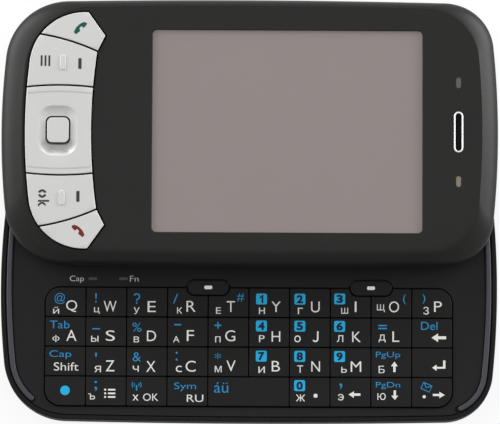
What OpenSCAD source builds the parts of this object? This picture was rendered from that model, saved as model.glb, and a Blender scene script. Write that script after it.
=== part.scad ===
// Side-sliding phone with a keyboard under its upper half, shown open.
// X runs along the length, Y along the sliding direction, Z up through the screen.
// The origin is the centre of the footprint of the open phone, at its underside.

/* [Halves] */
// Length of both halves
body_length = 109; // [108:0.5:113]
// Width of each half along the sliding direction
body_width = 59; // [58.5:0.5:62]
// How far the upper half slides open
slide_travel = 33.6; // [33:0.1:34.5]
// Height of the keyboard deck above the underside
deck_top = 8.3; // [8.3:0.1:10]
// Thickness of the upper half without its keys
upper_thickness = 7.8; // [7.8:0.1:9]

/* [Outline] */
// Radius of the bowed end beside the earpiece
end_r = 190; // [160:5:230]
// Radius of the bowed end beside the keypad
left_end_r = 160; // [140:5:190]
// Radius of the bowed long sides
side_r = 2000; // [1500:50:2500]
// Radius of the corners beside the earpiece
corner_r = 10.8; // [10.4:0.1:11.4]
// Radius of the corners beside the keypad
left_corner_r = 13.8; // [13.2:0.1:14.2]

/* [Screen] */
// Distance from the left end to the screen window
window_left = 33.1; // [32.8:0.1:34]
// Distance from the screen window to the right end
window_right = 16.7; // [16.4:0.1:17.5]
// Height of the screen window
window_h = 44.7; // [42:0.1:45.5]

/* [Keyboard] */
// Distance from the keyboard to the ends of the lower half
field_side = 9.85; // [9.7:0.05:11]
// Distance from the keyboard to the lower edge
field_edge = 3.3; // [3.15:0.05:3.75]
// Distance between rows of keys
row_pitch = 6.55; // [6.2:0.05:6.6]
// Gap between two keys
key_gap = 0.24; // [0.16:0.02:0.36]
// Height of the keys above the deck
key_proud = 0.3; // [0.1:0.05:0.35]

/* [Front keys] */
// Gap round each front key
front_gap = 0.3; // [0.24:0.02:0.36]
// Height of the front keys above the bezel
front_proud = 0.2; // [0.05:0.05:0.3]

/* [Hidden] */
$fn = 64;
arc_fn = 360;
eps = 0.01;

// Levels of the lower half, upwards from the underside
cover_t = 1;
floor_z = 1.8;
battery_t = 4.2;
deck_t = 1.1;
ledge_z = deck_top - deck_t;
board_t = 0.8;
board_gap = 0.8;
board_z = ledge_z - board_gap - board_t;
dome_h = 0.25;
key_travel = 0.3;
travel_margin = 0.05;
key_top = deck_top + key_proud;
cap_z = ledge_z + 0.1;

// Levels of the upper half
halves_gap = 0.7;
back_t = 2.6;
upper_z = deck_top + halves_gap;
split_z = upper_z + back_t;
front_z = upper_z + upper_thickness;
wall_t = 1;
under_front_z = front_z - wall_t;
touch_t = 1.1;
switch_depth = 2.5;
switch_z = under_front_z - switch_depth;
switch_top = switch_z + board_t + dome_h;

// Middles of the two halves along Y
lower_y = -slide_travel / 2;
upper_y = slide_travel / 2;

// Shell sections
foot_w = 3;
foot_h = 3.2;
foot_steps = 5;
floor_inset = 3.8;
floor_cove = 1.8;
rim_bevel = 0.3;
bevel_ends = 3.8;
bevel_sides = 2.5;
bevel_base = 1.4;
bevel_crease = 68;
bevel_steps = 6;
side_wall = 1.3;

// Insets from the lower half's outline
rim_inset = 0.95;
deck_inset = rim_inset + 0.15;
trim_inset = 1.3;
trim_w = 1.15;
trim_t = 0.8;
trim_depth = 0.6;
trim_gap = 0.25;
ledge_inset = 2.2;
trim_end_inset = [7.6, 9.4];
trim_end_x = body_length / 2 - trim_end_inset[0];
trim_end_y = body_width / 2 - trim_end_inset[1];

// Keyboard field, measured from the middle of the lower half
key_columns = 10;
key_rows = 4;
field_w = body_length - 2 * field_side;
field_h = key_rows * row_pitch;
column_pitch = field_w / key_columns;
field_middle = -body_width / 2 + field_edge + field_h / 2;
field_top = field_middle + field_h / 2;
field_r = 3.4;
soft_key_w = 9.15;
soft_key_h = 3.25;
soft_key_columns = [4, 8];
soft_key_extra = 0.1;
plunger_r = 1.4;
lamp_w = 1.9;
lamp_h = 0.65;
lamp_depth = 0.4;
lamp_x = [for (column = [1.16, 1.91]) -field_w / 2 + column * column_pitch];
lamp_y = field_top + 1.9;

// Guide rails and their slots
rail_side = 16.5;
rail_x = body_length / 2 - rail_side;
rail_end = 3.25;
rail_length = 18;
rail_y = body_width / 2 - rail_end - rail_length;
rail_play = 0.15;
rail_foot_w = 5.2;
rail_neck_w = 2.5;
rail_head_w = 4.5;
lip_t = 0.8;
head_t = 0.5;
lip_top = upper_z + lip_t;
slot_end_play = 0.3;
// Rounded lower edge of the upper half: insets and heights, up to the seam under the bezel
back_edge = [[0.9, 0], [0.45, 0.25], [0.15, 0.8], [0.15, back_t]];
pocket_depth = 1.2;
pocket_rib = 4.5;
pocket_edge = 5;
pocket_r = 3;

// Front keypad, measured from the middle of its left edge
pad_left = 5.3;
pad_x = -body_length / 2 + pad_left;
pad_end_r = 125;
pad_corner_r = 12.1;
pad_corner_y = 14;
pad_corner_x = pad_end_r - sqrt(pow(pad_end_r - pad_corner_r, 2) - pow(pad_corner_y, 2));
pad_depth = 14.4;
pad_inner_r = 122;
flare_foot = [15.64, 17.4];
flare_tip = [17.4, 20.9];
flare_top = [13.7, 26.15];
// Arcs that part the press key from the rocker, and the rocker from the pad: ends and radius
outer_split = [[3.4, 21.2], [15.8, 17.4]];
outer_split_r = 48;
inner_split = [[0.3, 9.5], [14.9, 9.5]];
inner_split_r = 62;
pad_middle_x = 7.2;
rocker_axis_x = 8.3;
rocker_y = 14;
rocker_pivot_l = 6;
rocker_mark_w = 0.6;
rocker_mark_l = 3.2;
rocker_mark_h = 0.1;
rocker_arm = 4.5;
press_spot = [11, 21.5];
flange_w = 0.6;
flange_t = 0.35;
plunger_z = switch_top + key_travel + travel_margin;
cap_bottom = plunger_z + 0.3;
pivot_r = 0.4;
pivot_z = switch_z + board_t + 0.1 + pivot_r;
centre_key_w = 4.7;
centre_key_h = 5.5;
centre_key_r = 1.1;
select_travel = 0.25;
centre_cap_z = cap_bottom + select_travel + 0.15;
dish_w = 8;
dish_h = 10;
dish_r = 2.6;
dish_depth = 0.25;
nav_dome_x = 5.2;
nav_dome_y = 8;
groove_inset = 1.1;
groove_w = 0.15;
actuator_w = 4;
actuator_h = 13;
actuator_t = 0.6;
actuator_bore_r = 1.5;
tilt_z = cap_bottom + 0.2;
tilt_pivot_y = 5.1;
tilt_pivot_l = 2.4;
tilt_play = 0.1;
front_plunger_r = 0.8;
pad_bottom = cap_bottom + 0.1;
counterbore_top = centre_cap_z + flange_t + 0.1;
groove_depth = 0.12;
switch_board_inset = 0.8;
switch_dome_r = 1.3;
switch_post_x = [4.5, 9.5];
switch_post_y = 12;
switch_post_r = 1.2;
flex_w = 12;
flex_t = 0.3;

// Screen, earpiece and lamps of the upper half
window_w = body_length - window_left - window_right;
window_x = (window_left - window_right) / 2;
window_r = 1;
panel_margin = 1.6;
panel_step = 0.6;
display_r = 1;
touch_r = 1.5;
earpiece_inset = 8.8;
earpiece_x = body_length / 2 - earpiece_inset;
earpiece_w = 2.17;
earpiece_h = 9.3;
earpiece_ring = 0.42;
earpiece_depth = 0.6;
earpiece_fit = 0.02;
earpiece_proud = 0.1;
mesh_t = 0.2;
capsule_w = 5;
capsule_h = 11;
capsule_t = 2;
status_y = 10.9;
status_w = 1.1;
status_h = 2.4;
status_depth = 0.4;

// Underside and inside of the lower half
cover_left = 13.5;
cover_w = 66;
cover_h = 46;
cover_r = 4;
cover_gap = 0.1;
cover_x = -body_length / 2 + cover_left + cover_w / 2;
battery_w = 54;
battery_h = 38;
battery_gap = 0.3;
battery_r = 1.2;
camera_inset = 10.5;
camera_at = [body_length / 2 - camera_inset, 12];
camera_r = 3;
camera_gap = 0.3;
camera_z = 0.6;
speaker_at = [camera_at[0], -8];
speaker_w = 8;
speaker_slot = 1;
speaker_pitch = 2.2;
boss_r = 2;
boss_edge = 8.75;
boss_at = [rail_x, body_width / 2 - boss_edge];
board_inset = [8.5, 3.6];
board_w = body_length - 2 * board_inset[0];
board_h = body_width - 2 * board_inset[1];
board_r = 5;
shield_at = [24, -18];
shield_size = [14, 12, 1.8];
socket_w = 7.7;
socket_h = 3;
socket_depth = 7;
socket_back = 2.6;
socket_gap = 0.2;

black = [0.16, 0.16, 0.165];
shell_grey = [0.19, 0.19, 0.195];
silver = [0.8, 0.8, 0.79];
steel = [0.7, 0.71, 0.72];

KEY_ROWS = [
    ["q", "w", "e", "r", "t", "y", "u", "i", "o", "p"],
    ["a", "s", "d", "f", "g", "h", "j", "k", "l", "delete"],
    ["shift", "z", "x", "c", "v", "b", "n", "m", "up", "enter"],
    ["function", "menu", "ok", "symbol", "space", "period", "left", "down", "right"]
];
SPACE_COLUMN = 4;

// ---- Outline shared by both halves ----

// Centre of the corner arc that is tangent to an end arc and a side arc
function corner_centre(a, b, re, rs, rc) =
    let (e = [a - re, 0], s = [0, b - rs], d = norm(s - e), u = (s - e) / d,
         along = (pow(re - rc, 2) - pow(rs - rc, 2) + d * d) / (2 * d),
         off = sqrt(pow(re - rc, 2) - along * along))
    e + along * u + off * [-u[1], u[0]];

function arc(centre, r, from, to, steps) =
    [for (i = [0 : steps - 1])
        let (t = from + (to - from) * i / steps) centre + r * [cos(t), sin(t)]];

// Quarter of the outline, drawn in by dx at the ends and dy at the sides
function quarter(dx, dy, end, corner) =
    let (a = body_length / 2 - dx, b = body_width / 2 - dy, re = end - dx, rs = side_r - dy,
         rc = corner - (dx + dy) / 2, c = corner_centre(a, b, re, rs, rc),
         t0 = atan2(c[1], c[0] - a + re), t1 = atan2(c[1] - b + rs, c[0]))
    concat(arc([a - re, 0], re, 0, t0, 3), arc(c, rc, t0, t1, 8),
           arc([0, b - rs], rs, t1, 90, 2), [[0, b]]);

function ring(dx, dy) =
    let (q = quarter(dx, dy, end_r, corner_r), p = quarter(dx, dy, left_end_r, left_corner_r),
         n = len(q))
    concat(q, [for (i = [n - 2 : -1 : 0]) [-p[i][0], p[i][1]]],
           [for (i = [1 : n - 1]) -p[i]], [for (i = [n - 2 : -1 : 1]) [q[i][0], -q[i][1]]]);

module outline(inset) {
    polygon(ring(inset, inset));
}

// Solid through a stack of outline rings, each [inset at ends, inset at sides, height]
module loft(levels) {
    rings = [for (l = levels) [for (p = ring(l[0], l[1])) [p[0], p[1], l[2]]]];
    n = len(rings[0]);
    last = len(rings) - 1;
    sides = [for (k = [0 : last - 1]) for (i = [0 : n - 1])
        let (j = (i + 1) % n, a = k * n, b = a + n)
        each [[a + i, b + i, b + j], [a + i, b + j, a + j]]];
    bottom = [for (i = [0 : n - 1]) i];
    top = [for (i = [n - 1 : -1 : 0]) last * n + i];
    polyhedron([for (r = rings) each r], concat([bottom], sides, [top]));
}

// Quarter ellipse from the flat underside to the upright wall
function rounded_foot(width, height, steps) =
    [for (i = [0 : steps])
        let (t = 90 * i / steps, inset = width * (1 - sin(t)))
        [inset, inset, height * (1 - cos(t))]];

// Bevel from the upright wall to the crease round the flat front
function front_bevel(dx, dy, from_z, to_z, steps) =
    let (run = 1 - cos(bevel_crease))
    [for (i = [0 : steps])
        let (t = bevel_crease * i / steps, bulge = (1 - cos(t)) / run)
        [dx * bulge, dy * bulge, from_z + (to_z - from_z) * sin(t) / sin(bevel_crease)]];

module rounded_rect(w, h, r) {
    square([w, h - 2 * r], center = true);
    square([w - 2 * r, h], center = true);
    for (x = [-1, 1])
        for (y = [-1, 1])
            translate([x * (w / 2 - r), y * (h / 2 - r)])
                circle(r);
}

module on_lower() {
    translate([0, lower_y, 0])
        children();
}

module on_upper() {
    translate([0, upper_y, 0])
        children();
}

module slab(z0, z1) {
    translate([0, 0, z0])
        linear_extrude(z1 - z0)
            children();
}

// ---- Lower half ----

module base_tub() {
    color(shell_grey)
        on_lower()
            difference() {
                union() {
                    difference() {
                        loft(concat(rounded_foot(foot_w, foot_h, foot_steps),
                                    [[0, 0, deck_top - rim_bevel],
                                     [rim_bevel, rim_bevel, deck_top]]));
                        loft([[floor_inset, floor_inset, floor_z],
                              [ledge_inset, ledge_inset, floor_z + floor_cove],
                              [ledge_inset, ledge_inset, ledge_z + eps]]);
                        slab(ledge_z, deck_top + 1)
                            outline(rim_inset);
                    }
                    for (x = [-1, 1])
                        for (y = [-1, 1])
                            translate([x * boss_at[0], y * boss_at[1], floor_z - eps])
                                cylinder(h = board_z - floor_z + eps, r = boss_r);
                }
                battery_opening();
                translate([camera_at[0], camera_at[1], -1])
                    cylinder(h = floor_z + 2, r = camera_r + camera_gap);
                socket_opening();
                for (i = [-1 : 1])
                    translate([speaker_at[0], speaker_at[1] + i * speaker_pitch])
                        slab(-1, floor_z + 1)
                            square([speaker_w, speaker_slot], center = true);
            }
}

module battery_opening() {
    translate([cover_x, 0]) {
        slab(-1, cover_t)
            rounded_rect(cover_w + 2 * cover_gap, cover_h + 2 * cover_gap, cover_r + cover_gap);
        slab(-1, floor_z + 1)
            rounded_rect(battery_w + 2 * battery_gap, battery_h + 2 * battery_gap,
                         battery_r + battery_gap);
    }
}

module socket_opening() {
    width = socket_w + 2 * socket_gap;
    translate([-body_length / 2 - 1, -width / 2, board_z - socket_h - socket_gap])
        cube([socket_depth - 1, width, socket_h + 2 * socket_gap]);
}

module field_opening() {
    clearance = key_gap / 2;
    translate([0, field_middle])
        rounded_rect(field_w + 2 * clearance, field_h + 2 * clearance, field_r + clearance);
    for (column = soft_key_columns)
        soft_key_outline(column, 2 * clearance);
}

module keyboard_deck() {
    color(black)
        on_lower()
            difference() {
                slab(ledge_z, deck_top)
                    outline(deck_inset);
                slab(ledge_z - 1, deck_top + 1)
                    field_opening();
                slab(deck_top - trim_depth, deck_top + 1)
                    trim_band(deck_inset - 1, trim_inset + trim_w + trim_gap, trim_gap);
                for (x = lamp_x)
                    translate([x, lamp_y])
                        slab(deck_top - lamp_depth, deck_top + 1)
                            square([lamp_w, lamp_h], center = true);
            }
}

// Band between two insets of the outline, along the ends and round the lower corners
module trim_band(outer, inner, extra) {
    difference() {
        outline(outer);
        outline(inner);
        square([2 * (trim_end_x - extra), 2 * body_width], center = true);
        translate([-body_length, trim_end_y + extra])
            square([2 * body_length, body_width]);
    }
}

module side_trims() {
    color([0.22, 0.23, 0.27])
        on_lower()
            slab(deck_top - trim_depth, deck_top - trim_depth + trim_t)
                trim_band(trim_inset, trim_inset + trim_w, 0);
}

module battery_cover() {
    color(shell_grey)
        on_lower()
            translate([cover_x, 0])
                slab(0, cover_t)
                    rounded_rect(cover_w, cover_h, cover_r);
}

module battery() {
    color([0.25, 0.26, 0.3])
        on_lower()
            translate([cover_x, 0])
                slab(cover_t, cover_t + battery_t)
                    rounded_rect(battery_w, battery_h, battery_r);
}

module main_board() {
    color([0.12, 0.35, 0.2])
        on_lower() {
            slab(board_z, board_z + board_t)
                rounded_rect(board_w, board_h, board_r);
            for (row = [0 : 3])
                for (i = [0 : len(KEY_ROWS[row]) - 1])
                    translate(key_middle(row, i))
                        slab(board_z + board_t - eps, board_z + board_t + dome_h)
                            circle(plunger_r + 0.2);
            for (column = soft_key_columns)
                translate([soft_key_x(column), field_top])
                    slab(board_z + board_t - eps, board_z + board_t + dome_h)
                        circle(plunger_r - 0.3);
            translate([camera_at[0], camera_at[1], camera_z])
                cylinder(h = board_z - camera_z + eps, r = camera_r);
            translate([-body_length / 2 + socket_back, -socket_w / 2, board_z - socket_h])
                cube([socket_depth, socket_w, socket_h + eps]);
            translate([shield_at[0], shield_at[1], board_z - shield_size[2]])
                cube([shield_size[0], shield_size[1], shield_size[2] + eps]);
        }
}

// One rail: foot on the deck, neck through the slot, head over the slot's lips
module guide_rail() {
    foot_h = upper_z - rail_play - deck_top;
    head_z = lip_top + rail_play;
    translate([0, rail_y, deck_top]) {
        translate([-rail_foot_w / 2, 0, 0])
            cube([rail_foot_w, rail_length, foot_h]);
        translate([-rail_neck_w / 2, 0, 0])
            cube([rail_neck_w, rail_length, head_z + head_t - deck_top]);
        translate([-rail_head_w / 2, 0, head_z - deck_top])
            cube([rail_head_w, rail_length, head_t]);
    }
}

module guide_rails() {
    color(steel)
        on_lower()
            for (side = [-1, 1])
                translate([side * rail_x, 0, 0])
                    guide_rail();
}

// ---- Keyboard ----

function key_span(row, i) = row == 3 && i == SPACE_COLUMN ? 2 : 1;
function key_column(row, i) = row == 3 && i > SPACE_COLUMN ? i + 1 : i;
function key_middle(row, i) =
    [-field_w / 2 + (key_column(row, i) + key_span(row, i) / 2) * column_pitch,
     field_top - (row + 0.5) * row_pitch];
function soft_key_x(column) = -field_w / 2 + column * column_pitch;

module soft_key_outline(column, grow) {
    translate([soft_key_x(column), field_top])
        rounded_rect(soft_key_w + 2 * grow, soft_key_h + 2 * grow, soft_key_h / 2 + grow - eps);
}

module plunger(r) {
    slab(board_z + board_t + dome_h + key_travel + travel_margin, cap_z + eps)
        circle(r);
}

module key_cap(row, i) {
    middle = key_middle(row, i);
    width = key_span(row, i) * column_pitch - key_gap;
    color(black)
        on_lower() {
            slab(cap_z, key_top)
                difference() {
                    intersection() {
                        translate(middle)
                            square([width, row_pitch - key_gap], center = true);
                        translate([0, field_middle])
                            rounded_rect(field_w - key_gap, field_h - key_gap, field_r);
                    }
                    for (column = soft_key_columns)
                        soft_key_outline(column, key_gap);
                }
            translate(middle)
                plunger(plunger_r);
        }
}

module soft_key(column) {
    color(black)
        on_lower() {
            slab(cap_z, key_top + soft_key_extra)
                soft_key_outline(column, 0);
            translate([soft_key_x(column), field_top])
                plunger(plunger_r - 0.5);
        }
}

module soft_key_left() {
    soft_key(soft_key_columns[0]);
}

module soft_key_right() {
    soft_key(soft_key_columns[1]);
}

// ---- Upper half ----

module slide_back() {
    color(shell_grey)
        on_upper() {
            difference() {
                loft([for (l = back_edge) [l[0], l[0], upper_z + l[1]]]);
                for (side = [-1, 1])
                    translate([side * rail_x, 0, 0])
                        rail_slot();
                slab(split_z - pocket_depth, split_z + 1)
                    rounded_rect(2 * (rail_x - pocket_rib), body_width - 2 * pocket_edge, pocket_r);
            }
            for (x = switch_post_x)
                for (side = [-1, 1])
                    translate([pad_x + x, side * switch_post_y, split_z - eps])
                        cylinder(h = switch_z - split_z + eps, r = switch_post_r);
        }
}

module rail_slot() {
    start = rail_y - slide_travel - slot_end_play;
    length = rail_length + slide_travel + 2 * slot_end_play;
    neck_w = rail_neck_w + 2 * rail_play;
    head_w = rail_head_w + 2 * rail_play;
    translate([-neck_w / 2, start, upper_z - 1])
        cube([neck_w, length, lip_t + 1 + eps]);
    translate([-head_w / 2, start, lip_top])
        cube([head_w, length, head_t + 2 * rail_play + eps]);
}

module slide_bezel() {
    color(black)
        on_upper()
            difference() {
                loft(concat([[0, 0, split_z]],
                            front_bevel(bevel_ends, bevel_sides, split_z + bevel_base, front_z,
                                        bevel_steps)));
                loft([[side_wall, side_wall, split_z - eps],
                      [side_wall, side_wall, split_z + bevel_base],
                      [bevel_ends - wall_t, bevel_sides - wall_t / 2, under_front_z]]);
                translate([window_x, 0])
                    slab(under_front_z - 1, front_z + 1)
                        rounded_rect(window_w, window_h, window_r);
                translate([pad_x, 0])
                    slab(under_front_z - 1, front_z + 1)
                        keypad_area(front_gap);
                earpiece_slot();
                for (side = [-1, 1])
                    translate([earpiece_x, side * status_y])
                        slab(front_z - status_depth, front_z + 1)
                            rounded_rect(status_w, status_h, status_w / 2 - eps);
            }
}

module earpiece_slot() {
    translate([earpiece_x, 0]) {
        slab(front_z - earpiece_depth, front_z + 1)
            rounded_rect(earpiece_w + 2 * earpiece_fit, earpiece_h + 2 * earpiece_fit,
                         earpiece_w / 2);
        slab(under_front_z - 1, front_z)
            rounded_rect(earpiece_w - 2 * earpiece_ring, earpiece_h - 2 * earpiece_ring,
                         earpiece_w / 2 - earpiece_ring - eps);
    }
}

module display_module() {
    width = window_w + 2 * panel_margin - panel_step;
    height = window_h + 2 * panel_margin - panel_step;
    left = window_x - width / 2;
    flex_start = pad_x + rocker_axis_x;
    color([0.35, 0.36, 0.35])
        on_upper() {
            translate([window_x, 0])
                slab(split_z, under_front_z - touch_t)
                    rounded_rect(width, height, display_r);
            translate([pad_x, 0])
                slab(switch_z, switch_z + board_t)
                    keypad_area(-switch_board_inset);
            translate([flex_start, -flex_w / 2, switch_z])
                cube([left - flex_start + eps, flex_w, flex_t]);
            translate([pad_x, 0])
                for (at = front_switches())
                    translate(at)
                        slab(switch_z + board_t - eps, switch_top)
                            circle(switch_dome_r);
        }
}

// Middles of the front keys' switches, measured like the keypad
function front_switches() = concat(
    [[pad_middle_x, 0], [pad_middle_x - nav_dome_x, 0], [pad_middle_x + nav_dome_x, 0],
     [pad_middle_x, nav_dome_y], [pad_middle_x, -nav_dome_y]],
    [for (side = [-1, 1]) each [[press_spot[0], side * press_spot[1]],
                                [rocker_axis_x - rocker_arm, side * rocker_y],
                                [rocker_axis_x + rocker_arm, side * rocker_y]]]);

module touch_screen() {
    color([0.56, 0.52, 0.515])
        on_upper()
            translate([window_x, 0])
                slab(under_front_z - touch_t, under_front_z)
                    rounded_rect(window_w + 2 * panel_margin, window_h + 2 * panel_margin, touch_r);
}

// Slot ring with its mesh in the bezel, and the receiver capsule behind the slot
module earpiece() {
    color([0.9, 0.9, 0.9])
        on_upper()
            translate([earpiece_x, 0]) {
                slab(front_z - earpiece_depth, front_z + earpiece_proud)
                    difference() {
                        rounded_rect(earpiece_w, earpiece_h, earpiece_w / 2 - eps);
                        rounded_rect(earpiece_w - 2 * earpiece_ring, earpiece_h - 2 * earpiece_ring,
                                     earpiece_w / 2 - earpiece_ring - eps);
                    }
                slab(front_z - earpiece_depth, front_z - earpiece_depth + mesh_t)
                    rounded_rect(earpiece_w - earpiece_ring, earpiece_h - earpiece_ring,
                                 (earpiece_w - earpiece_ring) / 2 - eps);
                slab(under_front_z - capsule_t, under_front_z)
                    rounded_rect(capsule_w, capsule_h, capsule_w / 2 - eps);
            }
}

// ---- Front keypad ----

module keypad_area(grow) {
    reach = 2 * body_width;
    intersection() {
        union() {
            intersection() {
                translate([pad_end_r, 0])
                    circle(pad_end_r + grow, $fn = arc_fn);
                square([reach, 2 * pad_corner_y], center = true);
            }
            for (side = [-1, 1])
                translate([pad_corner_x, side * pad_corner_y])
                    circle(pad_corner_r + grow);
        }
        union() {
            difference() {
                square([reach, 2 * flare_foot[1]], center = true);
                translate([pad_depth + pad_inner_r, 0])
                    circle(pad_inner_r - grow, $fn = arc_fn);
            }
            for (side = [0, 1])
                mirror([0, side])
                    polygon([[-reach, flare_foot[1] - eps], [flare_foot[0] + grow, flare_foot[1] - eps],
                             [flare_tip[0] + grow, flare_tip[1]],
                             [flare_top[0] + grow, flare_top[1] + grow], [-reach, reach]]);
        }
    }
}

// Centre of the arc of radius r that bulges outwards between two points
function bulge_centre(ends, r) =
    let (chord = ends[1] - ends[0], half = norm(chord) / 2, along = chord / norm(chord))
    (ends[0] + ends[1]) / 2 + sqrt(r * r - half * half) * [along[1], -along[0]];

// Disc whose edge is the arc between two front keys, drawn in or out by grow
module split_disc(ends, r, grow, side) {
    centre = bulge_centre(ends, r);
    translate([centre[0], side * centre[1]])
        circle(r + grow, $fn = arc_fn);
}

module end_key_area(side, grow) {
    difference() {
        intersection() {
            keypad_area(grow);
            translate([0, side * body_width / 2])
                square([4 * pad_depth, body_width], center = true);
        }
        split_disc(outer_split, outer_split_r, front_gap / 2, side);
    }
}

module rocker_area(side, grow) {
    difference() {
        intersection() {
            keypad_area(grow);
            split_disc(outer_split, outer_split_r, -front_gap / 2, side);
            translate([0, side * body_width / 2])
                square([4 * pad_depth, body_width], center = true);
        }
        split_disc(inner_split, inner_split_r, front_gap / 2, side);
    }
}

module nav_area(grow) {
    intersection() {
        keypad_area(grow);
        split_disc(inner_split, inner_split_r, -front_gap / 2, 1);
        split_disc(inner_split, inner_split_r, -front_gap / 2, -1);
    }
}

module on_keypad() {
    color(silver)
        on_upper()
            translate([pad_x, 0])
                children();
}

// Press key at the end of the keypad: cap, retaining flange and plunger
module end_press_key(side) {
    on_keypad() {
        slab(cap_bottom, front_z + front_proud)
            end_key_area(side, 0);
        slab(cap_bottom, cap_bottom + flange_t)
            end_key_area(side, flange_w);
        translate([press_spot[0], side * press_spot[1]])
            slab(plunger_z, cap_bottom + eps)
                circle(front_plunger_r);
    }
}

// Rounded ridge along Y that a key rocks on, with the wall that joins it to the cap above
module pivot_ridge(length, z, to_z) {
    translate([0, 0, z])
        rotate([90, 0, 0])
            cylinder(h = length, r = pivot_r, center = true);
    slab(z, to_z)
        square([2 * pivot_r, length], center = true);
}

// Two-way key that rocks on a ridge under the embossed line in its middle
module rocker(side) {
    on_keypad() {
        slab(cap_bottom, front_z + front_proud)
            rocker_area(side, 0);
        slab(cap_bottom, cap_bottom + flange_t)
            rocker_area(side, flange_w);
        translate([rocker_axis_x, side * rocker_y]) {
            slab(front_z, front_z + front_proud + rocker_mark_h)
                square([rocker_mark_w, rocker_mark_l], center = true);
            pivot_ridge(rocker_pivot_l, pivot_z, cap_bottom + eps);
            for (arm = [-rocker_arm, rocker_arm])
                translate([arm, 0])
                    slab(plunger_z, cap_bottom + eps)
                        circle(front_plunger_r);
        }
    }
}

module call_key() {
    end_press_key(1);
}

module end_key() {
    end_press_key(-1);
}

module start_rocker() {
    rocker(1);
}

module ok_rocker() {
    rocker(-1);
}

module nav_pad() {
    on_keypad() {
        difference() {
            union() {
                slab(pad_bottom, front_z + front_proud)
                    nav_area(0);
                slab(pad_bottom, cap_bottom + flange_t)
                    nav_area(flange_w);
            }
            translate([pad_middle_x, 0]) {
                slab(cap_bottom, front_z + 1)
                    centre_key_outline(front_gap);
                slab(cap_bottom, counterbore_top)
                    centre_key_outline(flange_w + front_gap);
                slab(front_z + front_proud - dish_depth, front_z + 1)
                    rounded_rect(dish_w, dish_h, dish_r);
            }
            for (side = [-1, 1])
                nav_groove(side);
        }
        for (at = [[nav_dome_x, 0], [-nav_dome_x, 0], [0, nav_dome_y], [0, -nav_dome_y]])
            translate([pad_middle_x + at[0], at[1]])
                slab(plunger_z, pad_bottom + eps)
                    circle(front_plunger_r);
        for (side = [-1, 1])
            translate([pad_middle_x, side * tilt_pivot_y, 0])
                pivot_ridge(tilt_pivot_l, tilt_z, tilt_z + pivot_r);
    }
}

// Fine line just inside the pad's upper or lower edge
module nav_groove(side) {
    slab(front_z + front_proud - groove_depth, front_z + 1)
        difference() {
            split_disc(inner_split, inner_split_r, -groove_inset, side);
            split_disc(inner_split, inner_split_r, -groove_inset - groove_w, side);
            square([4 * pad_depth, dish_h + 2], center = true);
            translate([0, -side * body_width])
                square([4 * body_width, 2 * body_width], center = true);
        }
}

// Elastic cross-piece under the pad: it tips about X on its own ridge, and the pad's ridges
// lie in its channel, about which the pad tilts
module nav_actuator() {
    color([0.75, 0.75, 0.72])
        on_upper()
            translate([pad_x + pad_middle_x, 0])
                difference() {
                    union() {
                        slab(cap_bottom - actuator_t, cap_bottom)
                            rounded_rect(actuator_w, actuator_h, actuator_w / 4);
                        rotate([0, 0, 90])
                            pivot_ridge(actuator_w, pivot_z, cap_bottom - eps);
                    }
                    slab(switch_z, front_z)
                        circle(actuator_bore_r);
                    translate([0, 0, tilt_z])
                        rotate([90, 0, 0])
                            cylinder(h = 2 * actuator_h, r = pivot_r + tilt_play, center = true);
                }
}

module centre_key_outline(grow) {
    rounded_rect(centre_key_w + 2 * grow, centre_key_h + 2 * grow, centre_key_r + grow);
}

module centre_key() {
    on_keypad()
        translate([pad_middle_x, 0]) {
            slab(centre_cap_z, front_z + front_proud)
                centre_key_outline(0);
            slab(centre_cap_z, centre_cap_z + flange_t)
                centre_key_outline(flange_w);
            slab(plunger_z, centre_cap_z + eps)
                circle(front_plunger_r);
        }
}

base_tub();
keyboard_deck();
side_trims();
battery_cover();
battery();
main_board();
guide_rails();
slide_back();
slide_bezel();
display_module();
touch_screen();
earpiece();
call_key();
start_rocker();
nav_pad();
nav_actuator();
centre_key();
ok_rocker();
end_key();
soft_key_left();
soft_key_right();
for (row = [0 : 3])
    for (i = [0 : len(KEY_ROWS[row]) - 1])
        key_cap(row, i);
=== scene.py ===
import math

import bmesh
import bpy
from bpy.props import FloatProperty, FloatVectorProperty, IntProperty, PointerProperty
from mathutils import Matrix, Vector, geometry


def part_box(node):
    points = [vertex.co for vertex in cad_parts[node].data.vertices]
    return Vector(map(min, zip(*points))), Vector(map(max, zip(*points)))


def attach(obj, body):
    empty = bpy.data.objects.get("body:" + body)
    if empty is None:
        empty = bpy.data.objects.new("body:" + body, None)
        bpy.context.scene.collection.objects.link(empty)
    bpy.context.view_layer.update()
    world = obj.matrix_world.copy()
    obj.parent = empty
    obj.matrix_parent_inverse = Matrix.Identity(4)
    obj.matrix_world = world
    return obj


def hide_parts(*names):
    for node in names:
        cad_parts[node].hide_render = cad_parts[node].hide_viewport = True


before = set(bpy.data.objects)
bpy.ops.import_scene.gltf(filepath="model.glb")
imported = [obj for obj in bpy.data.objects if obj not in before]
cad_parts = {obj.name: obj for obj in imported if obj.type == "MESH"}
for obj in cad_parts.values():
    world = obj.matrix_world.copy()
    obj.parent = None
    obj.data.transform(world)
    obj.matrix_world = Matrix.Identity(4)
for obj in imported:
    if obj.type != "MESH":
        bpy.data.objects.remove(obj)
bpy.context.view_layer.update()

bl_info = {
    "name": "Slider phone",
    "version": (1, 0, 0),
    "blender": (4, 5, 0),
    "location": "3D View > Sidebar > Slider phone",
    "description": "Dresses a side-sliding keyboard phone: housings, keys, legends, screen and stage",
    "category": "Object",
}

MM = 0.001
KEY_ROWS = [
    ["q", "w", "e", "r", "t", "y", "u", "i", "o", "p"],
    ["a", "s", "d", "f", "g", "h", "j", "k", "l", "delete"],
    ["shift", "z", "x", "c", "v", "b", "n", "m", "up", "enter"],
    ["function", "menu", "ok", "symbol", "space", "period", "left", "down", "right"],
]
SPACE_COLUMN = 4
SOFT_KEY_COLUMNS = {"soft_key_left": 4, "soft_key_right": 8}

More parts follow.
